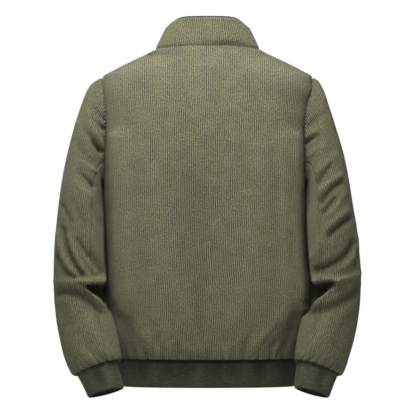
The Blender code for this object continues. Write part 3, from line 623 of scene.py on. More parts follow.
class Nodes:
    """Adds nodes to a material or node group and joins them."""

    def __init__(self, tree):
        self.tree = tree

    def give(self, socket, value):
        """Joins a socket to another node's output, or sets it to a plain value."""
        if isinstance(value, bpy.types.NodeSocket):
            self.tree.links.new(value, socket)
        else:
            socket.default_value = value

    def add(self, kind, values=(), **settings):
        """A node with these settings, and these values on its sockets."""
        node = self.tree.nodes.new(kind)
        for name, value in settings.items():
            setattr(node, name, value)
        for socket, value in dict(values).items():
            self.give(node.inputs[socket], value)
        return node

    def shade(self, values):
        """Joins or sets sockets of the material's own shader."""
        shader = self.tree.nodes["Principled BSDF"]
        for socket, value in values.items():
            self.give(shader.inputs[socket], value)

    def math(self, operation, *values, clamp=False):
        values = dict(enumerate(values))
        return self.add("ShaderNodeMath", values, operation=operation, use_clamp=clamp).outputs[0]

    def mix(self, share, first, second):
        return self.add("ShaderNodeMix", {0: share, 6: first, 7: second}, data_type="RGBA").outputs[2]

    def scaled(self, colour, share):
        """A colour made lighter or darker by a share."""
        values = {0: colour, "Scale": share}
        return self.add("ShaderNodeVectorMath", values, operation="SCALE").outputs[0]

    def noise(self, place, scale, detail=2.0, roughness=0.5):
        values = {"Vector": place, "Scale": scale, "Detail": detail, "Roughness": roughness}
        return self.add("ShaderNodeTexNoise", values).outputs["Fac"]

    def stretched(self, place, shares):
        """A place whose noise is longer along the axes whose shares are small."""
        values = {0: place, 1: shares}
        return self.add("ShaderNodeVectorMath", values, operation="MULTIPLY").outputs[0]

    def swing(self, value, amount, middle=0.0):
        """What goes up and down about its middle as a value goes up and down about a half."""
        return self.math("MULTIPLY_ADD", self.math("SUBTRACT", value, 0.5), amount, middle)

    def above(self, value, low, gain):
        """0 where a value is under its low end, and 1 from a little above it."""
        return self.math("MULTIPLY", self.math("SUBTRACT", value, low), gain, clamp=True)

    def wave(self, length, turns):
        """A sine wave that turns this far with each unit of a length."""
        return self.math("SINE", self.math("MULTIPLY", length, turns))

    def as_share(self, wave):
        """A wave between -1 and 1 as a share between 0 and 1."""
        return self.math("MULTIPLY_ADD", wave, 0.5, 0.5)

    def cloth_lengths(self):
        """The place on the cloth, and its two lengths, across and along."""
        place = self.add("ShaderNodeUVMap", uv_map="cloth").outputs["UV"]
        lengths = self.add("ShaderNodeSeparateXYZ", {"Vector": place})
        return place, lengths.outputs["X"], lengths.outputs["Y"]

    def plain_weave(self):
        """The place on the cloth, and how high its threads stand where they cross, from 0 to 1."""
        place, across, along = self.cloth_lengths()
        over = self.wave(across, THREADS_A_METRE * math.pi)
        under = self.wave(along, THREADS_A_METRE * math.pi)
        return place, self.as_share(self.math("MULTIPLY", over, under))

    def painted_crease_light(self, palest, darkest):
        """Painted light and shade: the cloth painted dark in a crease and pale where it stands out."""
        standing = self.add("ShaderNodeAttribute", attribute_name="lie").outputs["Fac"]
        light = self.math("MULTIPLY_ADD", standing, LIGHT_A_METRE, 1.0)
        return self.math("MAXIMUM", self.math("MINIMUM", light, palest), darkest)

    def bump(self, height, strength, distance):
        values = {"Strength": strength, "Distance": distance, "Height": height}
        return self.add("ShaderNodeBump", values).outputs["Normal"]


def group_of(name, inputs, outputs):
    """An empty node group with these sockets, and its adder, first and last nodes."""
    group = bpy.data.node_groups.new(name, "ShaderNodeTree")
    for sockets, in_out in ((inputs, "INPUT"), (outputs, "OUTPUT")):
        for socket, kind in sockets:
            group.interface.new_socket(socket, in_out=in_out, socket_type=f"NodeSocket{kind}")
    adder = Nodes(group)
    return group, adder, adder.add("NodeGroupInput"), adder.add("NodeGroupOutput")


def new_material(name):
    """A material, and the adder of its nodes."""
    material = bpy.data.materials.new(name)
    material.use_nodes = True
    return material, Nodes(material.node_tree)


# Corduroy: round wales of pile with narrow grooves between them, each wale a little uneven, the
# pile crushed and lit in patches, and its tips worn pale where the cloth is handled. Its creases
# are painted darker and its ridges paler.
corduroy_group, nodes, given, made = group_of(
    "corduroy_pile",
    [("Pitch", "Float"), ("Nap", "Float")],
    [("Color", "Color"), ("Roughness", "Float"), ("Normal", "Vector")],
)
cloth_place, cloth_across, _ = nodes.cloth_lengths()
wander = nodes.noise(cloth_place, 70.0, 3.0)
wandering = nodes.math("ADD", cloth_across, nodes.swing(wander, WALE_WANDER))
wale = nodes.math("DIVIDE", wandering, given.outputs["Pitch"])
wale_wave = nodes.math("ABSOLUTE", nodes.wave(wale, math.pi))
full_crown = nodes.math("POWER", wale_wave, WALE_ROUNDNESS)
rubbed = nodes.above(nodes.noise(cloth_place, 26.0, 2.0), 0.42, 3.5)
crown = nodes.mix(nodes.math("MULTIPLY", rubbed, MOST_RUBBED), full_crown, RUBBED_CROWN)
pile_place = nodes.stretched(cloth_place, PILE_STRETCH)
tufts = nodes.noise(pile_place, 900.0, 3.0, 0.65)
clumps = nodes.noise(pile_place, 380.0, 2.0, 0.7)
mottle = nodes.noise(pile_place, 560.0, 1.0, 0.5)
patches = nodes.noise(cloth_place, 34.0, 3.0, 0.6)
tints = nodes.noise(cloth_place, 44.0, 3.0, 0.6)
tinted = nodes.mix(nodes.above(tints, 0.33, 3.0), PILE_COOL_COLOUR, PILE_WARM_COLOUR)
ridge = nodes.mix(0.55, PILE_RIDGE_COLOUR, tinted)
cover = nodes.math("ADD", crown, nodes.swing(clumps, 2.2), clamp=True)
piled = nodes.mix(cover, PILE_GROOVE_COLOUR, ridge)
speck = nodes.math("ADD", nodes.swing(tufts, 2.0, 1.0), nodes.swing(mottle, 2.0))
# Tips that catch the light look greyer, and the pile between them deeper in colour.
depth_of_colour = nodes.math("MULTIPLY_ADD", nodes.math("SUBTRACT", speck, 1.0), -0.5, 1.0)
deepened = nodes.add("ShaderNodeHueSaturation", {"Saturation": depth_of_colour, "Color": piled})
# Painted light and shade: the pile is painted dark in the creases and pale on the ridges between
# them, times its piece's share of pile lay and painted light.
nap_and_painted_crease_light = nodes.math("MULTIPLY", given.outputs["Nap"], nodes.painted_crease_light(1.2, 0.12))
lit = nodes.math("MULTIPLY", speck, nodes.swing(patches, 0.45, 1.0))
pile_shade = nodes.math("MULTIPLY", lit, nap_and_painted_crease_light)
relief = nodes.math("ADD", crown, nodes.math("MULTIPLY", nodes.math("ADD", tufts, clumps), 0.45))
nodes.give(made.inputs["Color"], nodes.scaled(deepened.outputs[0], pile_shade))
nodes.give(made.inputs["Roughness"], nodes.math("MULTIPLY_ADD", crown, -0.10, 0.98))
nodes.give(made.inputs["Normal"], nodes.bump(relief, 1.0, PILE_HEIGHT))


def corduroy_finish(name, pitch, nap_and_painted_light):
    """A corduroy material whose wales are this far apart; its share is partly pile lay, partly painted
    light.
    """
    finish, adder = new_material(name)
    pile = adder.add("ShaderNodeGroup", {"Pitch": pitch, "Nap": nap_and_painted_light}, node_tree=corduroy_group).outputs
    adder.shade({
        "Base Color": pile["Color"],
        "Roughness": pile["Roughness"],
        "Normal": pile["Normal"],
        "Specular IOR Level": 0.15,
        "Sheen Weight": 0.22,
        "Sheen Roughness": 0.45,
        "Sheen Tint": (0.62, 0.62, 0.45, 1),
    })
    return finish


corduroy = corduroy_finish("olive_corduroy_pile", WALE_PITCH, 1.0)

# The back of the corduroy: a plain, matt, slightly slubby weave.
ground_weave, nodes = new_material("corduroy_ground")
cloth_place, crossing = nodes.plain_weave()
slubs = nodes.noise(cloth_place, 120.0, 3.0)
weave_shade = nodes.math("MULTIPLY_ADD", nodes.math("ADD", crossing, slubs), 0.35, 0.65)
nodes.shade({
    "Base Color": nodes.scaled(GROUND_COLOUR[:3], weave_shade),
    "Normal": nodes.bump(crossing, 0.5, THREAD_HEIGHT),
    "Roughness": 0.95,
    "Specular IOR Level": 0.1,
})


def back_hem(share):
    """Places along the back's lower edge, from the left side seam to the right one."""
    start = float(outer_edge(0.0, BACK)[0])
    return start + (180 - 2 * start) * share, np.full(np.shape(share), HEM_HEIGHT)


columns = seam_shares(BACK_COLUMNS, length=0.56)
rows = seam_shares(BODY_ROWS, length=0.62)
left_edge = outer_edge(rows, BACK)
foot, head = back_hem(columns), back_top_edge(columns)
angle, height = patch(columns, rows, BACK, foot, head, left_edge, other_side(left_edge))
points = section_point(BODY_SECTIONS, angle, height)
normals = grid_normals(points)
side_of_point = np.where(points[..., 0] > 0, LEFT, RIGHT)
out, _ = fold_moves(BACK_FOLDS, side_of_point, np.abs(points[..., 0]), height, 1.0)
out += pucker_moves(BACK_PUCKERS, points[..., 0], height - HEM_HEIGHT) + edge_roll(points)
across = wale_place(angle, height, BACK)
along = steps_along(points, 0)
# The sleeves hang over the lower part of the armhole seams and shade them. Painted light and
# shade: the cloth is painted darker there, in its creases and in the gap beside the sleeves, and
# paler on its ridges.
from_left = steps_along(points, 1)
from_side = np.minimum(from_left, from_left[:, -1:] - from_left)
under_sleeves = ramp(ARMHOLE_SHADE_TOP - height, ARMHOLE_SHADE_FADE) * (height > UNDERARM)
lie = out - GAP_SHADE * side_gap(points)
lie -= ARMHOLE_SHADE * under_sleeves * bell(from_side, ARMHOLE_SHADE_WIDTH)
out = sewn_to_band(out, height - HEM_HEIGHT)
back_mesh = cloth_mesh("back_cloth", points + normals * out[..., None], across, along, lie)
back_piece = sew_piece(back_mesh, CLOTH, (corduroy, ground_weave))


# ---- Fronts ----
# Two mirrored fronts of the same corduroy, cut wales upright. Each runs from its side seam to the
# zip, which is sewn under its turned edge, and is plain, with no pocket.

NECK_SHARE = 0.72  # share of a front's inner edge that runs beside the zip, below the neck
FRONT_COLUMNS = 96
BESIDE_ZIP = 0.012  # how far from the zip the hem is held in fully
FRONT_FOLDS = {
    (LEFT, FRONT): in_metres(Fold, (
        (190, -80, 140, -130, 70, -200, -2, -1, 16, 24),
        (196, -240, 160, -220, 110, -190, -2.6, -0.8, 12, 20),
        (150, -260, 140, -400, 128, -560, 2.8, 2.2, 26, 20),
        (80, -300, 85, -440, 92, -590, -2, -3, 24, 14),
        (190, -500, 170, -555, 150, -604, -2.6, -2.8, 13, 9),
        (92, -35, 75, -72, 45, -100, 1.6, 1, 12, 14),
    )),
    (RIGHT, FRONT): in_metres(Fold, (
        (190, -85, 138, -140, 75, -215, -1.8, -1, 17, 24),
        (194, -250, 150, -235, 105, -200, -2.2, -0.8, 13, 20),
        (140, -280, 136, -420, 120, -575, 2.6, 2, 24, 18),
        (70, -330, 78, -470, 80, -600, -1.8, -2.8, 22, 12),
        (188, -510, 168, -560, 140, -608, -3, -2.6, 12, 9),
        (94, -38, 76, -76, 46, -102, 1.4, 1, 12, 14),
    )),
}
FRONT_PUCKERS = in_metres(Pucker, (
    (170, 34, 6, 3, 4.4), (154, 46, 8, 3.6, 5), (139, 24, 3, 2.4, 3.8), (124, 38, 5, 3, 4.6),
    (108, 20, 1, 2, 3.4), (94, 34, 3, 2.8, 4.2), (77, 24, 1, 2.2, 3.8), (61, 32, 2, 2.4, 4),
    (43, 20, 0, 1.8, 3.4), (28, 16, 0, 1.2, 3), (-31, 18, 0, 1.4, 3.2), (-47, 28, -1, 2.2, 3.8),
    (-64, 22, -1, 2, 3.4), (-79, 36, -3, 2.8, 4.4), (-98, 24, -2, 2.2, 3.6), (-113, 40, -5, 3, 4.6),
    (-128, 22, -2, 2.4, 3.6), (-143, 44, -7, 3.4, 4.8), (-160, 28, -4, 2.8, 4), (-173, 36, -6, 3, 4.2),
))
NECK_FRONT_TURN = -math.degrees(math.acos(FRONT_EDGE / NECK_HALF_WIDTH))
NECK_BASE = float(neck_place(NECK_FRONT_TURN)[1])


def zip_edge(share, side):
    """Places on a front's inner edge, as on the left: up beside the zip, then round the neck."""
    share = np.asarray(share, float)
    height = HEM_HEIGHT + (NECK_BASE - HEM_HEIGHT) * np.minimum(share / NECK_SHARE, 1.0)
    turned = angle_across(BODY_SECTIONS, side * FRONT_EDGE, height)
    on_zip = -turned if side == LEFT else turned - 180
    turn = np.minimum(NECK_FRONT_TURN * (1 - share) / (1 - NECK_SHARE), -NECK_SEAM_TURN)
    neck = neck_place(np.maximum(turn, NECK_FRONT_TURN))
    below = share < NECK_SHARE
    return np.where(below, on_zip, neck[0]), np.where(below, height, neck[1])


def front_hem(share, side):
    """Places along a front's lower edge, as on the left: from the zip to the side seam."""
    start = float(zip_edge(0.0, side)[0])
    end = float(outer_edge(0.0, FRONT)[0])
    return start + (end - start) * share, np.full(np.shape(share), HEM_HEIGHT)


for side, name in ((LEFT, "front_left_cloth"), (RIGHT, "front_right_cloth")):
    columns = seam_shares(FRONT_COLUMNS, length=0.28)
    rows = seam_shares(BODY_ROWS, length=0.60)
    foot, head = front_hem(columns, side), shoulder_edge(1 - columns, FRONT)
    place = patch(columns, rows, FRONT, foot, head, zip_edge(rows, side), outer_edge(rows, FRONT))
    across = wale_place(*place, FRONT)
    points = section_point(BODY_SECTIONS, *(place if side == LEFT else other_side(place)))
    normals = grid_normals(points) * side
    out, _ = fold_moves(FRONT_FOLDS, side, np.abs(points[..., 0]), place[1], -1.0)
    out += pucker_moves(FRONT_PUCKERS, points[..., 0], place[1] - HEM_HEIGHT) + edge_roll(points)
    along = steps_along(points, 0)
    # Painted light and shade: the cloth painted darker in its creases and in the gap beside the sleeves,
    # and paler on its ridges.
    lie = out - GAP_SHADE * side_gap(points)
    beside_zip = ramp(np.abs(points[..., 0]) - FRONT_EDGE, BESIDE_ZIP)
    out = sewn_to_band(out, place[1] - HEM_HEIGHT, beside_zip)
    points = points + normals * out[..., None]
    front_mesh = cloth_mesh(name, points, across, along, lie, turned=side == RIGHT)
    piece = sew_piece(front_mesh, CLOTH, (corduroy, ground_weave))


# ---- Sleeves ----
# Each full sleeve is cut in two from the corduroy, a wide top sleeve and a narrow under sleeve, set
# into the armhole and bunched above the bent elbow, where a deep crease folds the cloth over.

SLEEVE_SEAM_GAP = 0.0006
SLEEVE_RADIUS = 0.065
SLEEVE_SET = 2.5  # how many seam gaps a sleeve starts outside the body
ARMHOLE_FADE = 5  # rings over which a sleeve leaves the armhole's own curve
UNDER_SEAM_BACK = 115  # the under sleeve lies between these angles; 0 is outside, 90 the back
UNDER_SEAM_FRONT = 235
TOP_SLEEVE_COLUMNS = 150
UNDER_SLEEVE_COLUMNS = 70
SLEEVE_ROWS_A_RING = 11
SEAM_ALLOWANCE = 0.009
ALLOWANCE_SHARE = 0.06  # how much smaller than the armhole the turned-in allowance is
SLEEVE_PITCH = 0.0044  # the wales spread a little where the cloth goes round the arm
# How light each sleeve's pile is: partly the lay of its pile, partly painted shade, the right sleeve
# painted darker than the left for the light from the left.
LEFT_SLEEVE_NAP_AND_PAINTED_LIGHT = 0.88
RIGHT_SLEEVE_NAP_AND_PAINTED_LIGHT = 0.82
SLEEVE_SEAM_ROLL = 0.0011
SLEEVE_LEVELS = (-0.66, -0.06)  # heights between which level lengths round it are measured
WALES_TURN_RINGS = (9.0, 13.0)  # from upright wales above to wales along the arm below
SIDE_FACING = 0.10  # how far the folds of its back go round to its outer and inner side
DEEPEST_SHADE = -0.0100  # a crease deeper than this gets no darker

# The sleeve lies against the side of the body from the underarm to below the elbow.
TOUCH_TOP = -0.262
TOUCH_BOTTOM = -0.556
TOUCH_FADE = 0.022
TOUCH_NEAR = 0.006
TOUCH_FAR = 0.013
ELBOW_HIGH = -0.440
ELBOW_LOW = -0.475
ELBOW_LOOSER = 1.3
TOUCH_GAP = 0.0002
TOUCH_REACH = 0.30  # share of the body's depth where the sleeve still touches it
TOUCH_CORNER = 0.0020
# How far the back corner of the sleeve stands outside the body's side, by height
Stand = namedtuple("Stand", "height left right")
TOUCH_STANDS = [Stand(*row) for row in (
    (-0.545, -0.0300, -0.0300),
    (-0.531, -0.0120, -0.0110),
    (-0.522, -0.0020, -0.0040),
    (-0.512, 0.0030, 0.0002),
    (-0.503, 0.0095, 0.0050),
    (-0.494, 0.0100, 0.0080),
    (-0.482, 0.0070, 0.0085),
    (-0.472, 0.0020, 0.0035),
    (-0.462, -0.0010, 0.0006),
    (-0.445, 0.0008, 0.0012),
    (-0.420, 0.0018, 0.0012),
    (-0.380, 0.0016, 0.0012),
    (-0.262, 0.0008, 0.0008),
)]

# Rings from the armhole to the cuff, each between an outer and an inner point on either side
SleeveRing = namedtuple(
    "SleeveRing",
    "ring outer_left outer_right outer_height inner_left inner_right inner_height "
    "middle half_depth tilt",
)
SLEEVE_RINGS = [SleeveRing(number, *row) for number, row in enumerate((
    (0.2125, 0.2105, -0.058, 0.2065, 0.1945, -0.298, 0.000, 0.055, 0),
    (0.2240, 0.2210, -0.064, 0.2085, 0.1978, -0.299, 0.001, 0.060, 0),
    (0.2360, 0.2280, -0.074, 0.2085, 0.1982, -0.300, 0.002, 0.065, 0),
    (0.2440, 0.2350, -0.088, 0.2085, 0.1982, -0.302, 0.004, 0.069, 0),
    (0.2510, 0.2410, -0.106, 0.2085, 0.1982, -0.305, 0.006, 0.072, 0),
    (0.2590, 0.2490, -0.130, 0.2085, 0.1980, -0.309, 0.009, 0.075, 0),
    (0.2670, 0.2570, -0.156, 0.2085, 0.1978, -0.315, 0.012, 0.077, 0),
    (0.2750, 0.2660, -0.186, 0.2078, 0.1970, -0.324, 0.017, 0.078, 0),
    (0.2830, 0.2750, -0.220, 0.2055, 0.1955, -0.336, 0.024, 0.078, 0),
    (0.2910, 0.2830, -0.262, 0.2028, 0.1935, -0.352, 0.033, 0.077, 0),
    (0.2980, 0.2910, -0.314, 0.2010, 0.1920, -0.374, 0.040, 0.075, 0),
    (0.3030, 0.2990, -0.362, 0.1998, 0.1925, -0.400, 0.045, 0.073, 0),
    (0.3065, 0.3035, -0.405, 0.1990, 0.1945, -0.428, 0.047, 0.070, 2),
    (0.3075, 0.3065, -0.445, 0.1975, 0.1950, -0.455, 0.047, 0.068, 4),
    (0.3075, 0.3070, -0.475, 0.1965, 0.1950, -0.478, 0.048, 0.066, 7),
    (0.3065, 0.3055, -0.500, 0.1965, 0.1950, -0.500, 0.050, 0.063, 11),
    (0.3040, 0.3030, -0.524, 0.1930, 0.1925, -0.522, 0.057, 0.060, 14),
    (0.3005, 0.2990, -0.550, 0.1850, 0.1855, -0.548, 0.066, 0.058, 15),
    (0.2940, 0.2920, -0.582, 0.1775, 0.1785, -0.578, 0.075, 0.057, 16),
    (0.2865, 0.2830, -0.612, 0.1725, 0.1745, -0.604, 0.084, 0.054, 14),
    (0.2770, 0.2750, -0.637, 0.1705, 0.1730, -0.617, 0.090, 0.049, 13),
    (0.2690, 0.2680, -0.650, 0.1720, 0.1735, -0.6225, 0.092, 0.045, 12),
    (0.2635, 0.2630, -0.6535, 0.1765, 0.1765, -0.6240, 0.093, 0.0415, 12),
))]
SLEEVE_FOLDS = {
    (LEFT, BACK): in_metres(Fold, (
        # Left, from the armhole down: short creases that fan out of the seam
        (231, -136, 219, -149, 206, -164, -2.2, -6, 4.5, 4.5),
        (238, -128, 226, -140, 208, -154, 2.2, 3, 5, 4),
        (224, -150, 214, -162, 205, -174, 2, 3, 4.5, 4),
        (224, -120, 216, -131, 206, -142, -1.6, -4, 4, 4),
        (251, -158, 234, -176, 213, -206, -3, -9, 6.5, 5),
        (262, -150, 246, -164, 232, -182, 1.8, 2.4, 7, 6),
        (228, -158, 218, -178, 207, -200, 2.6, 3.4, 5.5, 4.5),
        (262, -188, 248, -206, 232, -228, -2, -2.6, 7, 8),
        (250, -228, 236, -238, 224, -246, 2.6, 3, 5.5, 4.5),
        (254, -250, 240, -262, 227, -277, -3.4, -5.6, 5, 4.5),
        (262, -268, 246, -284, 230, -296, 2, 2.4, 6, 5),
        (226, -318, 216, -338, 206, -352, -2.6, -3.4, 9, 9),
        (289, -316, 281, -330, 272, -346, -3.4, -3, 5, 6),
        (270, -306, 256, -326, 244, -350, -2.2, -2.6, 7, 7),
        # Left, above the elbow: long creases drawn down and in to the crest
        (287, -362, 275, -410, 247, -452, -4, -6.6, 5, 5.5),
        (298, -372, 288, -412, 264, -450, 3, 3.6, 6.5, 6),
        (273, -376, 260, -416, 238, -452, 2.6, 3.4, 7, 6),
        (300, -418, 287, -441, 266, -456, -4, -5, 6, 5.5),
        (257, -384, 247, -400, 239, -414, -4, -4.6, 5, 5.5),
        (232, -416, 221, -432, 210, -448, -3.4, -3.6, 8, 8),
        (246, -410, 236, -428, 224, -446, 2, 3, 6, 6),
        # Left, the crest at the elbow, the dark fold under it, and its lower lip
        (306, -466, 274, -466, 240, -464, 2.2, 4, 8, 6),
        (243, -462, 222, -463, 196, -464, 5, 10, 6, 8, 3),
        (241, -475, 222, -480, 192, -488, -4, -48, 4.5, 13),
        (241, -482, 224, -494, 199, -520, 3.6, 6.6, 4.5, 6),
        (298, -490, 258, -492, 209, -524, -5.6, -8, 9, 9.5),
        (284, -520, 266, -556, 246, -590, -2, -2, 12, 12),
        (236, -540, 218, -572, 202, -602, 2, 2.4, 13, 13),
        (262, -560, 252, -590, 236, -618, 1.8, 1.8, 11, 10),
    )),
    (LEFT, FRONT): in_metres(Fold, (
        # Left, the same bunching at the front of the elbow
        (290, -380, 262, -415, 225, -440, -6, -8, 8, 9),
        (300, -420, 262, -452, 215, -462, 6, 8, 9, 10, 3),
        (292, -482, 262, -486, 218, -480, -8, -12, 8, 9),
        (284, -520, 262, -524, 232, -512, -5, -6, 9, 10),
        (262, -150, 245, -180, 225, -200, -4, -6, 8, 7),
        (270, -210, 250, -240, 228, -262, -4, -5, 8, 7),
        (280, -270, 262, -310, 238, -340, -4, -4.4, 9, 9),
    )),
    (RIGHT, BACK): in_metres(Fold, (
        # Right, from the shoulder down
        (207, -72, 222, -86, 236, -102, 2.2, 2, 4, 4),
        (219, -176, 208, -181, 196, -190, -3, -6.6, 4.5, 4.5),
        (226, -160, 212, -168, 199, -178, 2.2, 3, 5.5, 4.5),
        (232, -196, 216, -204, 200, -216, 1.8, 2.4, 7, 6),
        (230, -132, 216, -142, 201, -154, -2, -3.2, 6, 5),
        (243, -238, 231, -252, 219, -270, -4.4, -5, 5, 5.5),
        (254, -216, 240, -228, 222, -246, 2, 2.2, 7, 6),
        (266, -269, 243, -286, 225, -306, -6.2, -7.6, 5.2, 6.2),
        (264, -256, 244, -268, 226, -286, 3, 3.4, 6, 5.5),
        (254, -304, 242, -315, 229, -330, -4.6, -4.8, 5, 5.5),
        (272, -292, 258, -312, 246, -330, 2.6, 2.6, 7, 6.5),
        (283, -340, 262, -356, 240, -376, -7.6, -7, 5.8, 6.8),
        (276, -326, 256, -342, 236, -358, 2.8, 2.8, 7, 6),
        (290, -390, 266, -420, 216, -444, -6.2, -7.2, 6.8, 7.8),
        (300, -380, 292, -410, 272, -436, 3.4, 3.6, 6.5, 6.5),
        (298, -406, 298, -422, 292, -436, -3.4, -3, 4.5, 5),
        (236, -372, 224, -396, 208, -416, 2.4, 2.6, 10, 9),
        # Right, the crest at the elbow, the dark fold under it, and its lower lip
        (308, -449, 284, -457, 256, -462, 3.4, 4.4, 6, 5.5),
        (258, -462, 233, -458.5, 202, -468, 4.6, 8, 5.5, 7, 3),
        (256, -468, 232, -477, 190, -492, -4, -48, 4.5, 14),
        (259, -468, 237, -488, 205, -516, 3.8, 6.6, 4.5, 6),
        (300, -484, 264, -508, 208, -524, -5.2, -7.8, 9.5, 9.5),
        (280, -540, 262, -566, 250, -600, -2, -2, 12, 12),
        (234, -548, 220, -575, 206, -602, 2.2, 2.2, 13, 13),
    )),
    (RIGHT, FRONT): in_metres(Fold, (
        # Right, the same bunching at the front of the elbow
        (290, -370, 262, -410, 225, -435, -6, -8, 8, 9),
        (300, -424, 262, -452, 213, -460, 6, 8, 9, 10, 3),
        (292, -484, 262, -487, 216, -482, -8, -12, 8, 9),
        (282, -522, 260, -526, 230, -514, -5, -6, 9, 10),
        (252, -160, 236, -188, 214, -206, -4, -5.6, 8, 7),
        (262, -220, 244, -250, 222, -270, -4, -5, 8, 7),
        (272, -280, 254, -318, 230, -346, -4, -4.4, 9, 9),
    )),
}

# Puckers where a sleeve is gathered into its cuff, by distance round from the outer side
SLEEVE_PUCKERS = in_metres(Pucker, (
    (-112, 20, 4, 1.4, 3.4), (-94, 30, -3, 1.82, 4), (-79, 18, 2, 1.26, 3), (-61, 26, 3, 1.68, 3.8),
    (-46, 16, -1, 1.26, 3), (-29, 24, 2, 1.68, 3.6), (-12, 18, -2, 1.26, 3.2), (4, 28, 3, 1.68, 3.8),
    (21, 18, -1, 1.4, 3.2), (35, 30, 3, 1.82, 3.8), (50, 18, 1, 1.4, 3), (64, 26, -3, 1.68, 3.6),
    (81, 18, 2, 1.26, 3.2), (97, 24, -2, 1.54, 3.6), (113, 18, 1, 1.26, 3),
))


def ring_point(rings, side, place, angle):
    """Outer points of sleeve or cuff rings: angle 0 is the outer side, 90 the back."""
    place, angle = np.broadcast_arrays(place, angle)
    ring = row_at(rings, place)
    left = side == LEFT
    none = np.zeros(place.shape)
    outer = ring.outer_left if left else -ring.outer_right
    inner = ring.inner_left if left else -ring.inner_right
    outer = np.stack([outer, none, ring.outer_height], axis=-1)
    inner = np.stack([inner, none, ring.inner_height], axis=-1)
    tilt = np.radians(ring.tilt)
    back = np.stack([none, np.cos(tilt), np.sin(tilt)], axis=-1) * ring.half_depth[..., None]
    centre = (outer + inner) / 2 + np.stack([none, ring.middle, none], axis=-1)
    turn = np.radians(angle)[..., None]
    return centre + (outer - inner) / 2 * np.cos(turn) + back * np.sin(turn)


def armhole_point(side, angle):
    """Points of the armhole's edge on the body, moved out by the seam's gap."""
    turn = np.radians(angle)
    height = ARMHOLE_MIDDLE + ARMHOLE_HALF_HEIGHT * np.cos(turn)
    depth = ARMHOLE_HALF_DEPTH * np.sin(turn)
    place = angle_at_depth(BODY_SECTIONS, depth, height), height
    point = section_point(BODY_SECTIONS, *(place if side == LEFT else other_side(place)))
    return point + np.array([side * SLEEVE_SET * SEAM_GAP, 0, 0])


def sleeve_point(side, place, angle):
    """Outer points of a sleeve before its folds."""
    point = ring_point(SLEEVE_RINGS, side, place, angle)
    fade = np.maximum(1 - place / ARMHOLE_FADE, 0)[..., None] ** 2
    start = ring_point(SLEEVE_RINGS, side, 0.0, angle)
    return point + (armhole_point(side, angle) - start) * fade


def smooth_share(low, high, value):
    """0 at low, 1 at high, and a soft curve between them."""
    share = ramp(value - low, high - low)
    return share * share * (3 - 2 * share)


def level_arcs(side, angles):
    """Length round a sleeve from its outer side at level heights, by height and by angle."""
    places = np.linspace(0, len(SLEEVE_RINGS) - 1, 120)
    levels = np.linspace(*SLEEVE_LEVELS, 300)
    place, angle = np.meshgrid(places, angles, indexing="ij")
    points = sleeve_point(side, place, angle)
    level = np.empty((len(levels), len(angles), 2))
    for k in range(len(angles)):
        heights = points[::-1, k, 2]
        level[:, k, 0] = np.interp(levels, heights, points[::-1, k, 0])
        level[:, k, 1] = np.interp(levels, heights, points[::-1, k, 1])
    return levels, steps_along(level, 1)


def sleeve_wales(side, points, angles, place):
    """Distance across the cloth of the wale at each place: upright down from the armhole."""
    every = np.linspace(-180, 235, 416)
    levels, arcs = level_arcs(side, every)
    arcs = arcs - arcs[:, 180, None]
    by_angle = np.array([np.interp(angles, every, row) for row in arcs])
    by_level = np.stack(
        [np.interp(points[:, k, 2], levels, by_angle[:, k]) for k in range(len(angles))], axis=1
    )
    round_rings = steps_along(points, 1)
    first = ring_arc_start(side, place[:, 0], angles[0])
    by_ring = round_rings + first[:, None]
    share = smooth_share(*WALES_TURN_RINGS, place)
    return by_level * (1 - share) + by_ring * share


def ring_arc_start(side, places, angle):
    """Length round each ring from its outer side to an angle."""
    steps = np.linspace(0, angle, 60)
    place, turn = np.meshgrid(places, steps, indexing="ij")
    length = steps_along(sleeve_point(side, place, turn), 1)[:, -1]
    return length * np.sign(angle)


def lay_against_body(points, side):
    """Brings the inner side of a sleeve up to the body where it hangs close, and squares it there.

    Also gives how deep each point then lies in the narrow gap between the two, for its painted shade.
    """
    across, depth, height = points[..., 0], points[..., 1], points[..., 2]
    row = row_at(BODY_SECTIONS, height)
    share = np.abs(depth) / depth_towards(row, depth)
    width = row.half_width * np.maximum(1 - share**row.squareness, 0) ** (1 / row.squareness)
    gap = (across - row.middle) * side - width
    past_side = (across - row.middle) * side - row.half_width
    stand = row_at(TOUCH_STANDS, height)
    stand = stand.left if side == LEFT else stand.right
    along = smooth_share(TOUCH_BOTTOM, TOUCH_BOTTOM + TOUCH_FADE, height)
    along = along * smooth_share(TOUCH_TOP + 0.3 * TOUCH_FADE, TOUCH_TOP - 0.3 * TOUCH_FADE, height)
    beside = smooth_share(TOUCH_REACH, 0.55 * TOUCH_REACH, share) * along
    loose = 1 + ELBOW_LOOSER * smooth_share(ELBOW_HIGH, ELBOW_LOW, height)
    near = gap * smooth_share(TOUCH_NEAR * loose, TOUCH_FAR * loose, gap) + TOUCH_GAP
    touching = (near - gap) * beside * (gap < TOUCH_FAR * loose)
    # Behind the line where they touch, the sleeve's edge stands just outside the body's side.
    beyond = past_side - stand
    squared = (beyond + np.sqrt(beyond**2 + TOUCH_CORNER**2)) / 2 + stand
    behind = along * (1 - beside) * (depth > 0)
    moved = points.copy()
    moved[..., 0] += side * (touching + (squared - past_side) * behind)
    past_side = (moved[..., 0] - row.middle) * side - row.half_width
    in_gap = bell(np.maximum(past_side - stand, 0), GAP_WIDTH) * along * (depth > 0)
    return moved, in_gap


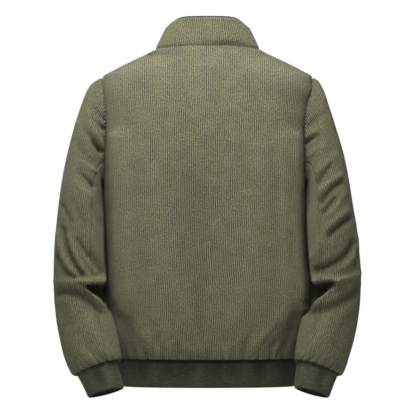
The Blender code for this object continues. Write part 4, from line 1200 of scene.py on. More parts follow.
for side, side_name, nap_and_painted_light in ((LEFT, "left", LEFT_SLEEVE_NAP_AND_PAINTED_LIGHT), (RIGHT, "right", RIGHT_SLEEVE_NAP_AND_PAINTED_LIGHT)):
    # Its own copy of the corduroy, with the sleeve's share of pile lay and painted shade.
    corduroy_sleeve = corduroy_finish(f"olive_corduroy_sleeve_{side_name}", SLEEVE_PITCH, nap_and_painted_light)
    last = len(SLEEVE_RINGS) - 1
    places = np.linspace(0, last, last * SLEEVE_ROWS_A_RING + 1)
    # Close rows beside the armhole and the cuff, where the sleeve is sewn
    near_cuff = [last - 0.07, last - 0.03]
    places = np.concatenate([places[:1], [0.05, 0.10], places[1:-1], near_cuff, places[-1:]])
    for part, start, end, count, flat, area in (
        ("top", UNDER_SEAM_FRONT - 360, UNDER_SEAM_BACK, TOP_SLEEVE_COLUMNS, (0.34, 0.64), 0.15),
        ("under", UNDER_SEAM_BACK, UNDER_SEAM_FRONT, UNDER_SLEEVE_COLUMNS, (0.17, 0.40), 0.06),
    ):
        name = f"sleeve_{part}_{side_name}_cloth"
        gap = math.degrees(SLEEVE_SEAM_GAP / 2 / SLEEVE_RADIUS)
        shares = seam_shares(count, length=0.30 if part == "top" else 0.15)
        angles = start + gap + (end - start - 2 * gap) * shares
        place, angle = np.meshgrid(places, angles, indexing="ij")
        points = sleeve_point(side, place, angle)
        across = sleeve_wales(side, points, angles, place)
        along = steps_along(points, 0)
        facing = np.sin(np.radians(angle)) + SIDE_FACING
        out, down = fold_moves(SLEEVE_FOLDS, side, np.abs(points[..., 0]), points[..., 2], facing)
        gathers = pucker_moves(SLEEVE_PUCKERS, across, along[-1:] - along)
        out += gathers + edge_roll(points, roll=SLEEVE_SEAM_ROLL)
        normals = grid_normals(points) * -side
        points = points + normals * out[..., None]
        points[..., 2] -= down
        points, in_gap = lay_against_body(points, side)
        # The seam allowance goes on into the armhole, a little smaller than the opening.
        opening = armhole_point(side, angles)
        allowance = opening + (opening.mean(axis=0) - opening) * ALLOWANCE_SHARE
        allowance[:, 0] = opening[:, 0] - side * SEAM_ALLOWANCE
        points = np.concatenate([allowance[None], points])
        # Painted light and shade: the cloth painted darker in its creases, down to the deepest shade, and
        # in the gap beside the body, and paler on its ridges.
        out = np.maximum(out, DEEPEST_SHADE) - GAP_SHADE * in_gap
        lie = np.concatenate([out[:1], out])
        across = np.concatenate([across[:1], across])
        along = np.concatenate([along[:1] - SEAM_ALLOWANCE, along])
        sleeve_mesh = cloth_mesh(name, points, across, along, lie, turned=side == LEFT)
        piece = sew_piece(sleeve_mesh, CLOTH, (corduroy_sleeve, ground_weave))


# ---- Cuffs ----
# Each cuff is a doubled tube of dark rib knit, sewn inside the gathered end of its sleeve and open
# at the wrist, where the fold of the knit makes a soft round rim.

RIB = 0.003
RIB_PITCH = 0.0026
RIB_COLOUR = (0.070, 0.074, 0.050, 1)
RIB_GROOVE_COLOUR = (0.034, 0.036, 0.024, 1)
CUFF_COLUMNS = 120
CUFF_ROWS_A_RING = 12
CUFF_RINGS = [SleeveRing(number, *row) for number, row in enumerate((
    (0.2597, 0.2595, -0.6450, 0.1800, 0.1800, -0.6190, 0.092, 0.0372, 12),
    (0.2595, 0.2590, -0.6515, 0.1788, 0.1790, -0.6235, 0.093, 0.0381, 12),
    (0.2480, 0.2505, -0.6740, 0.1725, 0.1755, -0.6510, 0.096, 0.0365, 11),
    (0.2380, 0.2420, -0.6965, 0.1650, 0.1720, -0.6770, 0.099, 0.0350, 10),
))]
CUFF_LAP = 0.006  # how much of the cuff the sleeve covers
# Painted shade where the cuff goes in under the edge of its sleeve
CUFF_SHADE = 0.0060
CUFF_SHADE_WIDTH = 0.006
CUFF_RELIEF_SHADE = 2.0  # how many times its own relief the knit's light and shade show
CUFF_SAG = 0.0012  # soft waves of the knit between the sleeve's puckers
STITCHES_A_METRE = 700.0
STITCH_HEIGHT = 0.0006
COURSE_STRETCH = (0.30, 1.30, 1.0)  # the courses of the knit run round, and are uneven along it

# Rib knit: narrow upright ribs of fine stitches, matt and slightly fuzzy.
rib_group, nodes, given, made = group_of(
    "rib_knit", [("Pitch", "Float"), ("Shade", "Float")], [("Color", "Color"), ("Normal", "Vector")]
)
cloth_place, cloth_across, cloth_along = nodes.cloth_lengths()
rib = nodes.math("DIVIDE", cloth_across, given.outputs["Pitch"])
rib_crown = nodes.math("POWER", nodes.math("ABSOLUTE", nodes.wave(rib, math.pi)), 0.7)
stitch_wave = nodes.wave(cloth_along, STITCHES_A_METRE * math.tau)
fuzz = nodes.noise(cloth_place, 700.0, 3.0, 0.6)
soft_patches = nodes.noise(cloth_place, 30.0, 2.0, 0.5)
courses = nodes.noise(nodes.stretched(cloth_place, COURSE_STRETCH), 260.0, 2.0, 0.6)
rib_shade = nodes.math("MULTIPLY", nodes.swing(fuzz, 0.9, 1.0), nodes.swing(soft_patches, 0.5, 1.0))
rib_shade = nodes.math("MULTIPLY", rib_shade, nodes.swing(courses, 1.5, 1.0))
# Painted light and shade: the knit painted darker in its creases and where other parts shade it, and
# paler where it stands out.
rib_shade = nodes.math("MULTIPLY", rib_shade, nodes.painted_crease_light(1.45, 0.25))
rib_light = nodes.math("MULTIPLY", rib_shade, given.outputs["Shade"])
rib_tone = nodes.mix(rib_crown, RIB_GROOVE_COLOUR, RIB_COLOUR)
stitches = nodes.math("MULTIPLY", stitch_wave, 0.12)
rib_relief = nodes.math("ADD", stitches, nodes.math("MULTIPLY", fuzz, 0.4))
rib_relief = nodes.math("ADD", rib_crown, rib_relief)
nodes.give(made.inputs["Color"], nodes.scaled(rib_tone, rib_light))
nodes.give(made.inputs["Normal"], nodes.bump(rib_relief, 0.7, STITCH_HEIGHT))


def rib_finish(name, shade):
    """A rib knit material; shade is how much lighter or darker the knit is painted for its part."""
    finish, adder = new_material(name)
    knit = adder.add("ShaderNodeGroup", {"Pitch": RIB_PITCH, "Shade": shade}, node_tree=rib_group).outputs
    adder.shade({
        "Base Color": knit["Color"],
        "Normal": knit["Normal"],
        "Roughness": 0.9,
        "Specular IOR Level": 0.15,
        "Sheen Weight": 0.25,
        "Sheen Roughness": 0.5,
        "Sheen Tint": (0.45, 0.46, 0.36, 1),
    })
    return finish


# The same knit painted lighter on the cuffs and darker on the band, which is in the shade of the body
# above it.
cuff_knit = rib_finish("cuff_rib_knit", 1.30)
band_knit = rib_finish("band_rib_knit", 0.74)

for side, name in ((LEFT, "cuff_left_cloth"), (RIGHT, "cuff_right_cloth")):
    places = np.linspace(0, 3, 3 * CUFF_ROWS_A_RING + 1)
    places = np.concatenate([places[:-1], [2.955, 2.985, 3.0]])
    angles = np.arange(CUFF_COLUMNS) * 360 / CUFF_COLUMNS
    place, angle = np.meshgrid(places, angles, indexing="ij")
    points = ring_point(CUFF_RINGS, side, place, angle)
    arcs = steps_along(np.concatenate([points, points[:, :1]], axis=1), 1)
    girth = arcs[:, -1:]
    ribs_round = round(float(girth.mean()) / RIB_PITCH)
    across = arcs[:, :-1] / girth * ribs_round * RIB_PITCH
    along = steps_along(points, 0)
    normals = grid_normals(points, closed=True) * -side
    waves = np.sin(np.radians(angle * 5 + 40)) + 0.6 * np.sin(np.radians(angle * 8 + 110 * side))
    middle_of_cuff = np.sin(np.pi * ramp(place - 0.8, 2.4))
    out = edge_roll(points, closed=True, foot=False) - CUFF_SAG * (waves + 0.6) * middle_of_cuff
    # Painted light and shade: the knit's relief painted lighter and darker, and painted shade under the
    # edge of the sleeve.
    under_sleeve = bell(np.maximum(along - CUFF_LAP, 0), CUFF_SHADE_WIDTH)
    lie = CUFF_RELIEF_SHADE * out - CUFF_SHADE * under_sleeve
    points = points + normals * out[..., None]
    cuff_mesh = cloth_mesh(name, points, across, along, lie, closed=True, turned=side == LEFT)
    piece = sew_piece(cuff_mesh, RIB, (cuff_knit,))


# ---- Hem band ----
# One doubled strip of the same rib knit goes round the hips from zip to zip, sewn inside the
# gathered hem, so that the body blouses over its top edge.

BAND_TOP = -0.616
BAND_BOTTOM = -0.6772
BAND_COLUMNS = 300
BAND_ROWS = 26
# Painted shade on the band: a shadow under the body's overhang at its top, a change from darker above to
# paler towards its foot, and shade beside the right cuff
BAND_SHADE = 0.0100
BAND_SHADE_WIDTH = 0.005
BAND_PALER_BELOW = 0.0105
BAND_PALER_FROM = 0.44  # share of the way down where it turns from darker to paler
BAND_SIDE_SHADE = 0.0080
BAND_SIDE_FROM = 0.132  # from the middle plane, where the right sleeve begins to shade it
BAND_SIDE_FADE = 0.030
BAND_RELIEF_SHADE = 3.0
BAND_RIPPLE = 0.0006
BAND_RIPPLE_LENGTHS = (0.083, 0.047)
BAND_SECTIONS = [BodySection(*row) for row in (
    (BAND_BOTTOM, 0.1780, 0.1130, 0.1095, 0.000, 2.35),
    (-0.660, 0.1805, 0.1155, 0.1115, 0.000, 2.35),
    (-0.635, 0.1812, 0.1160, 0.1120, 0.000, 2.35),
    (BAND_TOP, 0.1800, 0.1150, 0.1115, 0.000, 2.3),
)]


def from_middle(lengths):
    """Lengths along the rows of a grid, counted from its middle column."""
    return lengths - lengths[:, lengths.shape[1] // 2, None]


shares = seam_shares(BAND_COLUMNS, length=0.95)
heights = BAND_BOTTOM + (BAND_TOP - BAND_BOTTOM) * seam_shares(BAND_ROWS, length=0.062)
share, height = np.meshgrid(shares, heights)
start = -angle_across(BAND_SECTIONS, FRONT_EDGE, height)
points = section_point(BAND_SECTIONS, start + (180 - 2 * start) * share, height)
normals = grid_normals(points)
across = from_middle(steps_along(points, 1))
long_wave, short_wave = (across * math.tau / length for length in BAND_RIPPLE_LENGTHS)
ripple = np.sin(long_wave) + 0.7 * np.sin(short_wave + 1.0)
belly = np.sin(np.pi * ramp(height - BAND_BOTTOM, BAND_TOP - BAND_BOTTOM))
out = edge_roll(points, head=False) - BAND_RIPPLE * (ripple + 1.0) * belly
# Painted light and shade: the knit's relief, the shadow under the body's overhang, darker above and paler
# below, and shade beside the right cuff.
lie = BAND_RELIEF_SHADE * out - BAND_SHADE * bell(np.maximum(HEM_HEIGHT - height, 0), BAND_SHADE_WIDTH)
lower = ramp(HEM_HEIGHT - height, HEM_HEIGHT - BAND_BOTTOM)
lie += BAND_PALER_BELOW * (lower - BAND_PALER_FROM)
beside_cuff = ramp(-points[..., 0] - BAND_SIDE_FROM, BAND_SIDE_FADE)
lie -= BAND_SIDE_SHADE * (beside_cuff * ramp(points[..., 1], BAND_SIDE_FADE))
along = steps_along(points, 0)
points = points + normals * out[..., None]
band_mesh = cloth_mesh("hem_band_cloth", points, across, along, lie)
band_piece = sew_piece(band_mesh, RIB, (band_knit,))


# ---- Collar ----
# The stand collar is a shaped band of corduroy, wales upright, turned over at its top edge and
# sewn to the neck, higher at the back than at the zip.

COLLAR_TOP_HALF_WIDTH = 0.084
COLLAR_TOP_BACK = 0.052
COLLAR_TOP_FRONT = 0.069
COLLAR_BULGE = -0.001
COLLAR_ALLOWANCE = 0.006  # how far its foot goes down inside the neck
COLLAR_COLUMNS = 230
COLLAR_ROWS = 30
COLLAR_SEAM_DENT = 0.0013  # how far the cloth is drawn in above the neck seam at the back
COLLAR_DENT_PLACE = -0.046  # where it is drawn in most, across the back
COLLAR_DENT_WIDTH = 0.030
COLLAR_DENT_RISE = 0.07  # its middle and its width as shares of the collar's height
COLLAR_DENT_HEIGHT = 0.085
COLLAR_DENT_SHADE = 2.6  # how much more painted shade it gets there than its depth alone gives it
COLLAR_RELIEF_SHADE = 0.7
COLLAR_TURNED_EDGE = 0.0011  # how far the turned top edge stands out
COLLAR_TURN_RISE = 0.93
COLLAR_TURN_HEIGHT = 0.045
COLLAR_ROUNDNESS = 0.0012
COLLAR_WAVE = 0.0008
COLLAR_WAVE_LENGTH = 0.11
EdgeHeight = namedtuple("EdgeHeight", "angle height")
COLLAR_EDGE = [EdgeHeight(*row) for row in (
    (-90, -0.0130),
    (-60, -0.0050),
    (-30, 0.0170),
    (0, 0.0400),
    (20, 0.0465),
    (31, 0.0525),
    (40, 0.0570),
    (50, 0.0603),
    (62, 0.0617),
    (90, 0.0620),
)]


def collar_point(turn, rise):
    """Outer points of the collar: rise 0 is the neck seam and 1 the top edge."""
    turn, rise = np.broadcast_arrays(turn, rise)
    base = section_point(BODY_SECTIONS, *neck_place(turn))
    base[..., 2] += SEAM_GAP
    around = np.radians(turn)
    reach = np.where(np.sin(around) > 0, COLLAR_TOP_BACK, COLLAR_TOP_FRONT)
    edge = row_at(COLLAR_EDGE, 90 - np.abs(90 - turn)).height
    top = np.stack([COLLAR_TOP_HALF_WIDTH * np.cos(around), reach * np.sin(around), edge], axis=-1)
    bulge = COLLAR_BULGE * np.cos(around) * np.sin(np.pi * np.minimum(rise, 1.0))
    point = base + (top - base) * rise[..., None]
    point[..., 0] += bulge
    return point


turns = NECK_FRONT_TURN + (180 - 2 * NECK_FRONT_TURN) * seam_shares(COLLAR_COLUMNS, length=0.55)
turn, rise = np.meshgrid(turns, seam_shares(COLLAR_ROWS, length=0.060))
points = collar_point(turn, rise)
normals = grid_normals(points)
across = from_middle(steps_along(collar_point(turn, np.full(rise.shape, 0.4)), 1))
back_share = np.clip(np.sin(np.radians(turn)), 0, 1)
drawn_in = 0.25 + 1.5 * bell(points[..., 0] - COLLAR_DENT_PLACE, COLLAR_DENT_WIDTH)
dent = COLLAR_SEAM_DENT * bell(rise - COLLAR_DENT_RISE, COLLAR_DENT_HEIGHT) * back_share * drawn_in
turned_edge = COLLAR_TURNED_EDGE * bell(rise - COLLAR_TURN_RISE, COLLAR_TURN_HEIGHT) * back_share
waves = COLLAR_WAVE * np.sin(across * math.tau / COLLAR_WAVE_LENGTH + 0.8) * rise
roundness = COLLAR_ROUNDNESS * np.sin(np.pi * rise) + waves
out = edge_roll(points) - dent + turned_edge + roundness
# Painted light and shade: the relief painted lighter and darker, and a painted shadow above the neck seam
# at the back.
collar_painted_light = COLLAR_RELIEF_SHADE * out - COLLAR_DENT_SHADE * dent
points = points + normals * out[..., None]
foot = points[:1] - normals[:1] * 0.6 * CLOTH - np.array([0, 0, COLLAR_ALLOWANCE])
points = np.concatenate([foot, points])
across = np.concatenate([across[:1], across])
lie = np.concatenate([collar_painted_light[:1], collar_painted_light])
collar_mesh = cloth_mesh("collar_cloth", points, across, steps_along(points, 0), lie)
collar_piece = sew_piece(collar_mesh, CLOTH, (corduroy, ground_weave))


# ---- Inner collar ----
# A second layer stands inside the collar from zip tape to zip tape, and shows as a dark line above
# the collar's top edge.

COLLAR_INNER_CLOTH = 0.002
COLLAR_INNER_RISE = 0.0026
INNER_SET = 2.5  # how many seam gaps it stands inside the collar
COLLAR_HEIGHT = 0.057
COLLAR_INNER_EDGE = 0.0172
INNER_DARK_COLOUR = (0.030, 0.031, 0.024, 1)
INNER_LIGHT_COLOUR = (0.055, 0.055, 0.041, 1)

inner_cloth, nodes = new_material("inner_collar_cloth")
cloth_place, crossing = nodes.plain_weave()
slubs = nodes.noise(cloth_place, 90.0, 3.0)
thread_share = nodes.math("MULTIPLY", nodes.math("ADD", crossing, slubs), 0.5)
nodes.shade({
    "Base Color": nodes.mix(thread_share, INNER_DARK_COLOUR, INNER_LIGHT_COLOUR),
    "Normal": nodes.bump(crossing, 0.5, THREAD_HEIGHT),
    "Roughness": 0.92,
    "Specular IOR Level": 0.12,
})

start = -math.degrees(math.acos(COLLAR_INNER_EDGE / COLLAR_TOP_HALF_WIDTH))
turns = start + (180 - 2 * start) * seam_shares(COLLAR_COLUMNS, length=0.52)
rises = seam_shares(COLLAR_ROWS, length=0.063) * (1 + COLLAR_INNER_RISE / COLLAR_HEIGHT)
turn, rise = np.meshgrid(turns, rises)
points = collar_point(turn, rise)
points = points - grid_normals(points) * (CLOTH + INNER_SET * SEAM_GAP)
across = from_middle(steps_along(points, 1))
inner_mesh = cloth_mesh("collar_inner_cloth", points, across, steps_along(points, 0))
inner_piece = sew_piece(inner_mesh, COLLAR_INNER_CLOTH, (inner_cloth,))


# ---- Zip tapes ----
# Two woven tapes run behind the fronts, the band and the collar, and carry the zip's teeth along
# their facing edges.

TAPE_CLOTH = 0.001
TAPE_INNER_EDGE = 0.0004
TAPE_OUTER_EDGE = 0.016
TAPE_SET = 2.2  # how many seam gaps the tapes lie behind the inner face
UNDER_FRONT_SET = 1.4  # and how many more under the cloth
TAPE_ROWS = 160
TWILL_LINES_A_METRE = 1500.0
ZIP_BOTTOM = -0.6745
COLLAR_FRONT_TOP = float(collar_point(-90.0, 1.0)[2])
TAPE_COLOUR = (0.052, 0.054, 0.036, 1)
TAPE_LINE_COLOUR = (0.030, 0.031, 0.022, 1)


def front_face(across, height):
    """The jacket's outer face beside the zip, on the band, the body or the collar."""
    across, height = np.broadcast_arrays(across, height)
    on_band = -angle_across(BAND_SECTIONS, across, height)
    band = section_point(BAND_SECTIONS, on_band, height)
    band[..., 1] += RIB - CLOTH
    body = section_point(BODY_SECTIONS, -angle_across(BODY_SECTIONS, across, height), height)
    rise = ramp(height - NECK_BASE, COLLAR_FRONT_TOP - NECK_BASE)
    half_width = NECK_HALF_WIDTH + (COLLAR_TOP_HALF_WIDTH - NECK_HALF_WIDTH) * rise
    collar = collar_point(-np.degrees(np.arccos(across / half_width)), rise)
    chosen = np.where(height[..., None] < BAND_TOP, band, body)
    return np.where(height[..., None] > NECK_BASE, collar, chosen)


zip_tape, nodes = new_material("zip_tape_weave")
_, cloth_across, cloth_along = nodes.cloth_lengths()
leaning = nodes.math("ADD", cloth_across, nodes.math("ABSOLUTE", cloth_along))
twill = nodes.wave(leaning, TWILL_LINES_A_METRE * math.tau)
twill_share = nodes.as_share(twill)
nodes.shade({
    "Base Color": nodes.mix(twill_share, TAPE_LINE_COLOUR, TAPE_COLOUR),
    "Normal": nodes.bump(twill_share, 0.4, 0.0002),
    "Roughness": 0.8,
})

for side, name in ((LEFT, "zip_tape_left_cloth"), (RIGHT, "zip_tape_right_cloth")):
    heights = np.linspace(ZIP_BOTTOM, COLLAR_FRONT_TOP, TAPE_ROWS)
    distances = np.linspace(TAPE_INNER_EDGE, TAPE_OUTER_EDGE, 8)
    distance, height = np.meshgrid(distances, heights)
    points = front_face(side * distance, height)
    points[..., 0] = side * distance
    points[..., 1] += CLOTH + TAPE_SET * SEAM_GAP + (distance > FRONT_EDGE) * UNDER_FRONT_SET * SEAM_GAP
    # Where the body overhangs the band, the tape bridges the step in a soft slope.
    for _ in range(3):
        points[1:-1] = (points[:-2] + 2 * points[1:-1] + points[2:]) / 4
    tape_heights, tape_depths = points[:, 0, 2], points[:, 0, 1]
    tape_mesh = cloth_mesh(name, points, distance, steps_along(points, 0), turned=side == RIGHT)
    piece = sew_piece(tape_mesh, TAPE_CLOTH, (zip_tape,))


# ---- Zip teeth ----
# Two rows of cast metal teeth, clamped on the facing edges of the tapes and locked into each other,
# with a small box at the foot where the zip comes apart.

TEETH_DEPTH = 0.0019
TEETH_TOP = -0.0345
TOOTH_PITCH = 0.0025
TEETH_SET = 1.2  # how many seam gaps the teeth stand in front of the tapes
ZIP_BOX_HEIGHT = 0.0085
METAL_BRIGHT_COLOUR = (0.42, 0.36, 0.25, 1)
METAL_DULL_COLOUR = (0.16, 0.135, 0.095, 1)
OutlinePoint = namedtuple("OutlinePoint", "across along")
# One tooth, from its clamp on the tape round the head that locks past the middle line
TOOTH_OUTLINE = in_metres(OutlinePoint, (
    (2.9, -0.4), (2.3, -0.58), (1.1, -0.56), (0.3, -0.44), (-0.4, -0.6), (-1, -0.34),
    (-1, 0.34), (-0.4, 0.6), (0.3, 0.44), (1.1, 0.56), (2.3, 0.58), (2.9, 0.4),
))
ZIP_BOX_OUTLINE = in_metres(OutlinePoint, (
    (-3, 0.8), (-2.2, 0), (2.2, 0), (3, 0.8),
    (3, 7.7), (2.2, 8.5), (-2.2, 8.5), (-3, 7.7),
))
# Rings of a cast piece from its front to its back: share of the depth, share of the outline
CastRing = namedtuple("CastRing", "depth size")
CAST_RINGS = (CastRing(0.0, 0.80), CastRing(0.22, 1.0), CastRing(0.85, 1.0), CastRing(1.0, 0.90))

zip_metal, nodes = new_material("antique_zip_brass")
metal_place = nodes.add("ShaderNodeTexCoord").outputs["Object"]
tarnish = nodes.noise(metal_place, 420.0, 4.0, 0.6)
brushing = nodes.noise(metal_place, 2600.0, 2.0)
nodes.shade({
    "Base Color": nodes.mix(nodes.above(tarnish, 0.35, 2.8), METAL_DULL_COLOUR, METAL_BRIGHT_COLOUR),
    "Roughness": nodes.math("MULTIPLY_ADD", tarnish, -0.25, 0.50),
    "Normal": nodes.bump(brushing, 0.3, 0.00006),
    "Metallic": 1.0,
})


def ring_faces(rings, count, turned):
    """Faces of a closed piece whose rings of points follow each other, with both of its ends."""
    last = (rings - 1) * count
    faces = [tuple(range(count)), tuple(reversed(range(last, last + count)))]
    for ring in range(rings - 1):
        for k in range(count):
            here, further = ring * count + k, ring * count + (k + 1) % count
            faces.append((further, here, here + count, further + count))
    return [tuple(reversed(face)) for face in faces] if turned else faces


def cast_piece(outline, side, centre):
    """Points and faces of one cast piece whose outline lies in the jacket's front."""
    middle = sum(point.across for point in outline) / len(outline)
    height = sum(point.along for point in outline) / len(outline)
    points = [
        (
            centre[0] + side * (middle + (point.across - middle) * ring.size),
            centre[1] + TEETH_DEPTH * ring.depth,
            centre[2] + height + (point.along - height) * ring.size,
        )
        for ring in CAST_RINGS
        for point in outline
    ]
    return points, ring_faces(len(CAST_RINGS), len(outline), turned=side < 0)


def joined_mesh(name, parts, finish):
    """Many small closed pieces as one mesh."""
    points, faces = [], []
    for part_points, part_faces in parts:
        start = len(points)
        points.extend(part_points)
        faces.extend(tuple(index + start for index in face) for face in part_faces)
    mesh = bpy.data.meshes.new(name)
    mesh.from_pydata(points, [], faces)
    mesh.materials.append(finish)
    return mesh


first_tooth = ZIP_BOTTOM + ZIP_BOX_HEIGHT + TOOTH_PITCH / 2
heights = np.arange(first_tooth, TEETH_TOP - TOOTH_PITCH / 4, TOOTH_PITCH / 2)
depths = np.interp(heights, tape_heights, tape_depths) - TEETH_SET * SEAM_GAP - TEETH_DEPTH
teeth = [
    cast_piece(TOOTH_OUTLINE, LEFT if number % 2 else RIGHT, (0, depth, height))
    for number, (height, depth) in enumerate(zip(heights, depths))
]
teeth.append(cast_piece(ZIP_BOX_OUTLINE, LEFT, (0, depths[0], ZIP_BOTTOM)))
fit_piece(joined_mesh("zip_teeth_cast", teeth, zip_metal), "zip_teeth")


# ---- Zip slider ----
# A cast slider stands at the top of the teeth: two shield-shaped plates joined by a wedge between
# the rows, with flanges that keep the tapes in and a bridge that holds the pull tab.

SLIDER_BOTTOM = -0.0342
SLIDER_FACE = -0.0755
SLIDER_DEPTH = 0.0054
SLIDER_PLATE = 0.0013
BRIDGE_OPENING = 0.0026
BRIDGE_WIDTH = 0.0020
METAL_EDGE = 0.0003
TAPE_SLIT = 0.0008  # between the two flanges of each side, for the tape
# Half of each outline, across from the middle and up from the foot
SHIELD_HALF = in_metres(OutlinePoint, (
    (0, 0), (3, 0.3), (3.6, 3), (4.5, 6.2), (4.5, 8.8), (3, 10.8), (0, 10.2),
))
WEDGE_HALF = in_metres(OutlinePoint, ((0, 5.8), (1.4, 7.8), (1.5, 9.8), (0, 10)))
FLANGE = in_metres(OutlinePoint, ((2.6, 0.6), (3.4, 0.6), (4.4, 6.4), (4.4, 8.8), (3.4, 8.8), (3.4, 6.6)))
# The bridge seen from the side: forward from the slider's face, and up from its foot
BRIDGE_SIDE = in_metres(OutlinePoint, (
    (-1, 1), (2.4, 1), (3.4, 1.5), (3.8, 2.5), (3.8, 7.7), (3.4, 8.7), (2.4, 9.2),
    (-1, 9.2), (-1, 8), (2, 8), (2.6, 7.5), (2.6, 2.7), (2, 2.2), (-1, 2.2),
))


def both_halves(half):
    """A whole outline from its half, which starts and ends on the middle line."""
    return list(half) + [(-across, along) for across, along in half[-2:0:-1]]


def metal_plate(name, outlines, thickness, edge, rounded=True):
    """A plate with soft edges, cut round by its first outline and holed by the others."""
    plate = bpy.data.curves.new(name, "CURVE")
    plate.dimensions = "2D"
    plate.fill_mode = "BOTH"
    plate.extrude = thickness / 2 - edge
    plate.bevel_depth = edge
    plate.bevel_resolution = 2
    plate.offset = -edge
    plate.resolution_u = 5
    for corners in outlines:
        spline = plate.splines.new("BEZIER" if rounded else "POLY")
        points = spline.bezier_points if rounded else spline.points
        points.add(len(corners) - 1)
        for point, corner in zip(points, corners):
            point.co = (*corner, 0) if rounded else (*corner, 0, 1)
            if rounded:
                point.handle_left_type = point.handle_right_type = "AUTO"
        spline.use_cyclic_u = True
    holder = bpy.data.objects.new(name, plate)
    mesh = bpy.data.meshes.new_from_object(holder)
    bpy.data.objects.remove(holder)
    return mesh


def placed_part(mesh, matrix):
    """A mesh's points and faces, put where the matrix says."""
    points = [tuple(matrix @ point.co) for point in mesh.vertices]
    return points, [tuple(face.vertices) for face in mesh.polygons]


def facing_front(depth, height):
    """The place of a plate that stands in the jacket's front, its middle at a depth."""
    return Matrix.Translation((0, depth, height)) @ Matrix.Rotation(math.radians(90), 4, "X")


front_plate = metal_plate("slider_front_plate", [both_halves(SHIELD_HALF)], SLIDER_PLATE, METAL_EDGE)
wedge = metal_plate("slider_wedge", [both_halves(WEDGE_HALF)], SLIDER_DEPTH - SLIDER_PLATE, METAL_EDGE)
flange_depth = (SLIDER_DEPTH - TAPE_SLIT) / 2
layers = [
    (front_plate, SLIDER_PLATE / 2),
    (front_plate, SLIDER_DEPTH - SLIDER_PLATE / 2),
    (wedge, SLIDER_DEPTH / 2),
]
for side in (LEFT, RIGHT):
    corners = [(side * across, along) for across, along in FLANGE]
    flange = metal_plate("slider_flange", [corners], flange_depth, METAL_EDGE, rounded=False)
    layers += [(flange, flange_depth / 2), (flange, SLIDER_DEPTH - flange_depth / 2)]
parts = [
    placed_part(plate, facing_front(SLIDER_FACE + depth, SLIDER_BOTTOM)) for plate, depth in layers
]
bridge = metal_plate("slider_bridge", [BRIDGE_SIDE], BRIDGE_WIDTH, METAL_EDGE, rounded=False)
sideways = Matrix(((0, 0, 1, 0), (-1, 0, 0, SLIDER_FACE), (0, 1, 0, SLIDER_BOTTOM), (0, 0, 0, 1)))
parts.append(placed_part(bridge, sideways))
slider_mesh = joined_mesh("zip_slider_cast", parts, zip_metal)
fit_piece(slider_mesh, "zip_slider")


# ---- Zip pull ----
# The pull tab is a stamped metal leaf with an eye at its top, hung on the slider's bridge, where it
# swings up and over on the bar between the eye and its top edge.

PULL_PIN = 0.0014
PULL_AXIS = -0.0308
PULL_THICKNESS = 0.0016
PULL_HALF_WIDTH = 0.0035
PULL_EYE_HALF_WIDTH = 0.0018
PULL_EYE_LENGTH = 0.0060
PULL_LENGTH = 0.024
PULL_RIM = 0.0011
PULL_GROOVE = 0.0003
WEB_WIDER = 1.12  # the web goes on into the rim on both sides and at its foot
WEB_LONGER = 1.01
WEB_HIGHER = 0.0001

low_centre = PULL_HALF_WIDTH - PULL_LENGTH
turns = np.linspace(0, math.pi, 21)
top = PULL_PIN / 2


def tongue(half_width, top):
    """An outline with a square top and a round end."""
    end = [(half_width * math.cos(turn), low_centre - half_width * math.sin(turn)) for turn in turns]
    return [(-half_width, top), (half_width, top)] + end


leaf = tongue(PULL_HALF_WIDTH, top)
panel = tongue(PULL_HALF_WIDTH - PULL_RIM, -top - PULL_EYE_LENGTH - PULL_RIM)
eye_corners = ((-1, -top), (1, -top), (1, -top - PULL_EYE_LENGTH), (-1, -top - PULL_EYE_LENGTH))
eye = [(side * PULL_EYE_HALF_WIDTH, along) for side, along in eye_corners]
rim = metal_plate("pull_rim", [leaf, eye, panel], PULL_THICKNESS, METAL_EDGE, rounded=False)
web = metal_plate(
    "pull_web",
    [[(across * WEB_WIDER, along * WEB_LONGER + WEB_HIGHER) for across, along in panel]],
    PULL_THICKNESS - 2 * PULL_GROOVE,
    METAL_EDGE / 2,
    rounded=False,
)
hang = facing_front(SLIDER_FACE - BRIDGE_OPENING / 2, PULL_AXIS)
pull_mesh = joined_mesh("zip_pull_leaf", [placed_part(rim, hang), placed_part(web, hang)], zip_metal)
fit_piece(pull_mesh, "zip_pull", body="pull_tab")


# ---- Stitching beside the zip ----
# One row of strong thread down each front, through cloth and tape, holds the zip from the band's
# foot to the collar's top.

STITCH_PITCH = 0.0031
STITCH_LENGTH = 0.0025
STITCH_RADIUS = 0.00032
STITCH_FROM_EDGE = 0.0060
STITCH_STANDS = 0.7  # share of its radius that its middle stands above the cloth
STITCH_SIDES = 6
STITCH_STEP = 0.0005  # between the places where the line of stitches is laid on the cloth
STITCH_END = 0.003  # below the collar's top
FRONT_STRETCH = 0.4  # in front of the jacket, where the search for its surface starts
# Rings of one stitch: share of its half length, share of its radius, how deep it is drawn in
StitchRing = namedtuple("StitchRing", "along size sunk")
STITCH_RINGS = [StitchRing(*row) for row in (
    (-1.00, 0.30, 1.10), (-0.80, 0.85, 0.55), (-0.30, 1.00, 0.05),
    (0.30, 1.00, 0.05), (0.80, 0.85, 0.55), (1.00, 0.30, 1.10),
)]
THREAD_COLOUR = (0.115, 0.118, 0.072, 1)
THREAD_SHADE_COLOUR = (0.055, 0.058, 0.036, 1)
THREAD_TWISTS_A_METRE = 1500.0

sewing_thread, nodes = new_material("sewing_thread")
thread_place = nodes.add("ShaderNodeTexCoord").outputs["Object"]
run = nodes.add("ShaderNodeSeparateXYZ", {"Vector": thread_place}).outputs
twist_wave = nodes.wave(nodes.math("ADD", run["Z"], run["X"]), THREAD_TWISTS_A_METRE * math.tau)
twist = nodes.as_share(twist_wave)
fibres = nodes.noise(thread_place, 1800.0, 2.0)
thread_share = nodes.math("MULTIPLY", nodes.math("ADD", twist, fibres), 0.5)
nodes.shade({
    "Base Color": nodes.mix(thread_share, THREAD_SHADE_COLOUR, THREAD_COLOUR),
    "Normal": nodes.bump(twist, 0.5, 0.0001),
    "Roughness": 0.6,
})


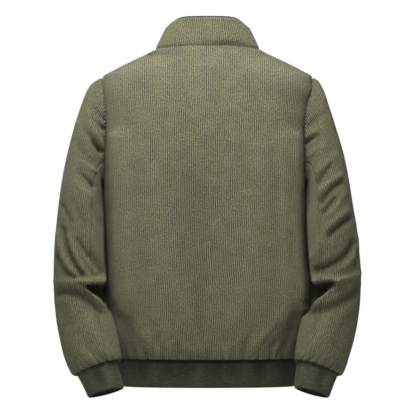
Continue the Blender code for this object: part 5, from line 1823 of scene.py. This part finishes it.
def stitch_row(name, line, normals):
    """A row of stitches on a line of places along a seam, each with its normal."""
    run = steps_along(line[None], 1)[0]
    middles = np.arange(STITCH_PITCH, run[-1] - STITCH_PITCH / 2, STITCH_PITCH)
    turns = np.linspace(0, math.tau, STITCH_SIDES, endpoint=False)
    parts = []
    for middle in middles:
        start, end = (
            np.array([np.interp(middle + part * STITCH_LENGTH / 2, run, values) for values in line.T])
            for part in (-1, 1)
        )
        normal = np.array([np.interp(middle, run, values) for values in normals.T])
        aside = np.cross((end - start) / np.linalg.norm(end - start), normal)
        points = []
        for ring in STITCH_RINGS:
            centre = (start + end) / 2 + (end - start) / 2 * ring.along
            centre = centre + normal * STITCH_RADIUS * (STITCH_STANDS - ring.sunk)
            for turn in turns:
                outwards = aside * math.cos(turn) + normal * math.sin(turn)
                points.append(tuple(centre + STITCH_RADIUS * ring.size * outwards))
        parts.append((points, ring_faces(len(STITCH_RINGS), STITCH_SIDES, turned=True)))
    mesh = joined_mesh(name, parts, sewing_thread)
    mesh.shade_smooth()
    fit_piece(mesh, None)


def surface_of(names):
    """The outer faces of cloth pieces as one surface that a straight line can be met with."""
    points, faces = [], []
    for name in names:
        mesh = bpy.data.objects[name].data
        start = len(points)
        points.extend(point.co.copy() for point in mesh.vertices)
        faces.extend([index + start for index in face.vertices] for face in mesh.polygons)
    return BVHTree.FromPolygons(points, faces)


for side, name, front in (
    (LEFT, "zip_stitching_left", "front_left_cloth"),
    (RIGHT, "zip_stitching_right", "front_right_cloth"),
):
    surface = surface_of([front, "hem_band_cloth", "collar_cloth"])
    line, normals = [], []
    for height in np.arange(ZIP_BOTTOM, COLLAR_FRONT_TOP - STITCH_END, STITCH_STEP):
        start = Vector((side * (FRONT_EDGE + STITCH_FROM_EDGE), -FRONT_STRETCH, height))
        place, normal, _, _ = surface.ray_cast(start, Vector((0, 1, 0)))
        if place is not None:
            line.append(place)
            normals.append(normal if normal.y < 0 else -normal)
    stitch_row(name, np.array(line), np.array(normals))
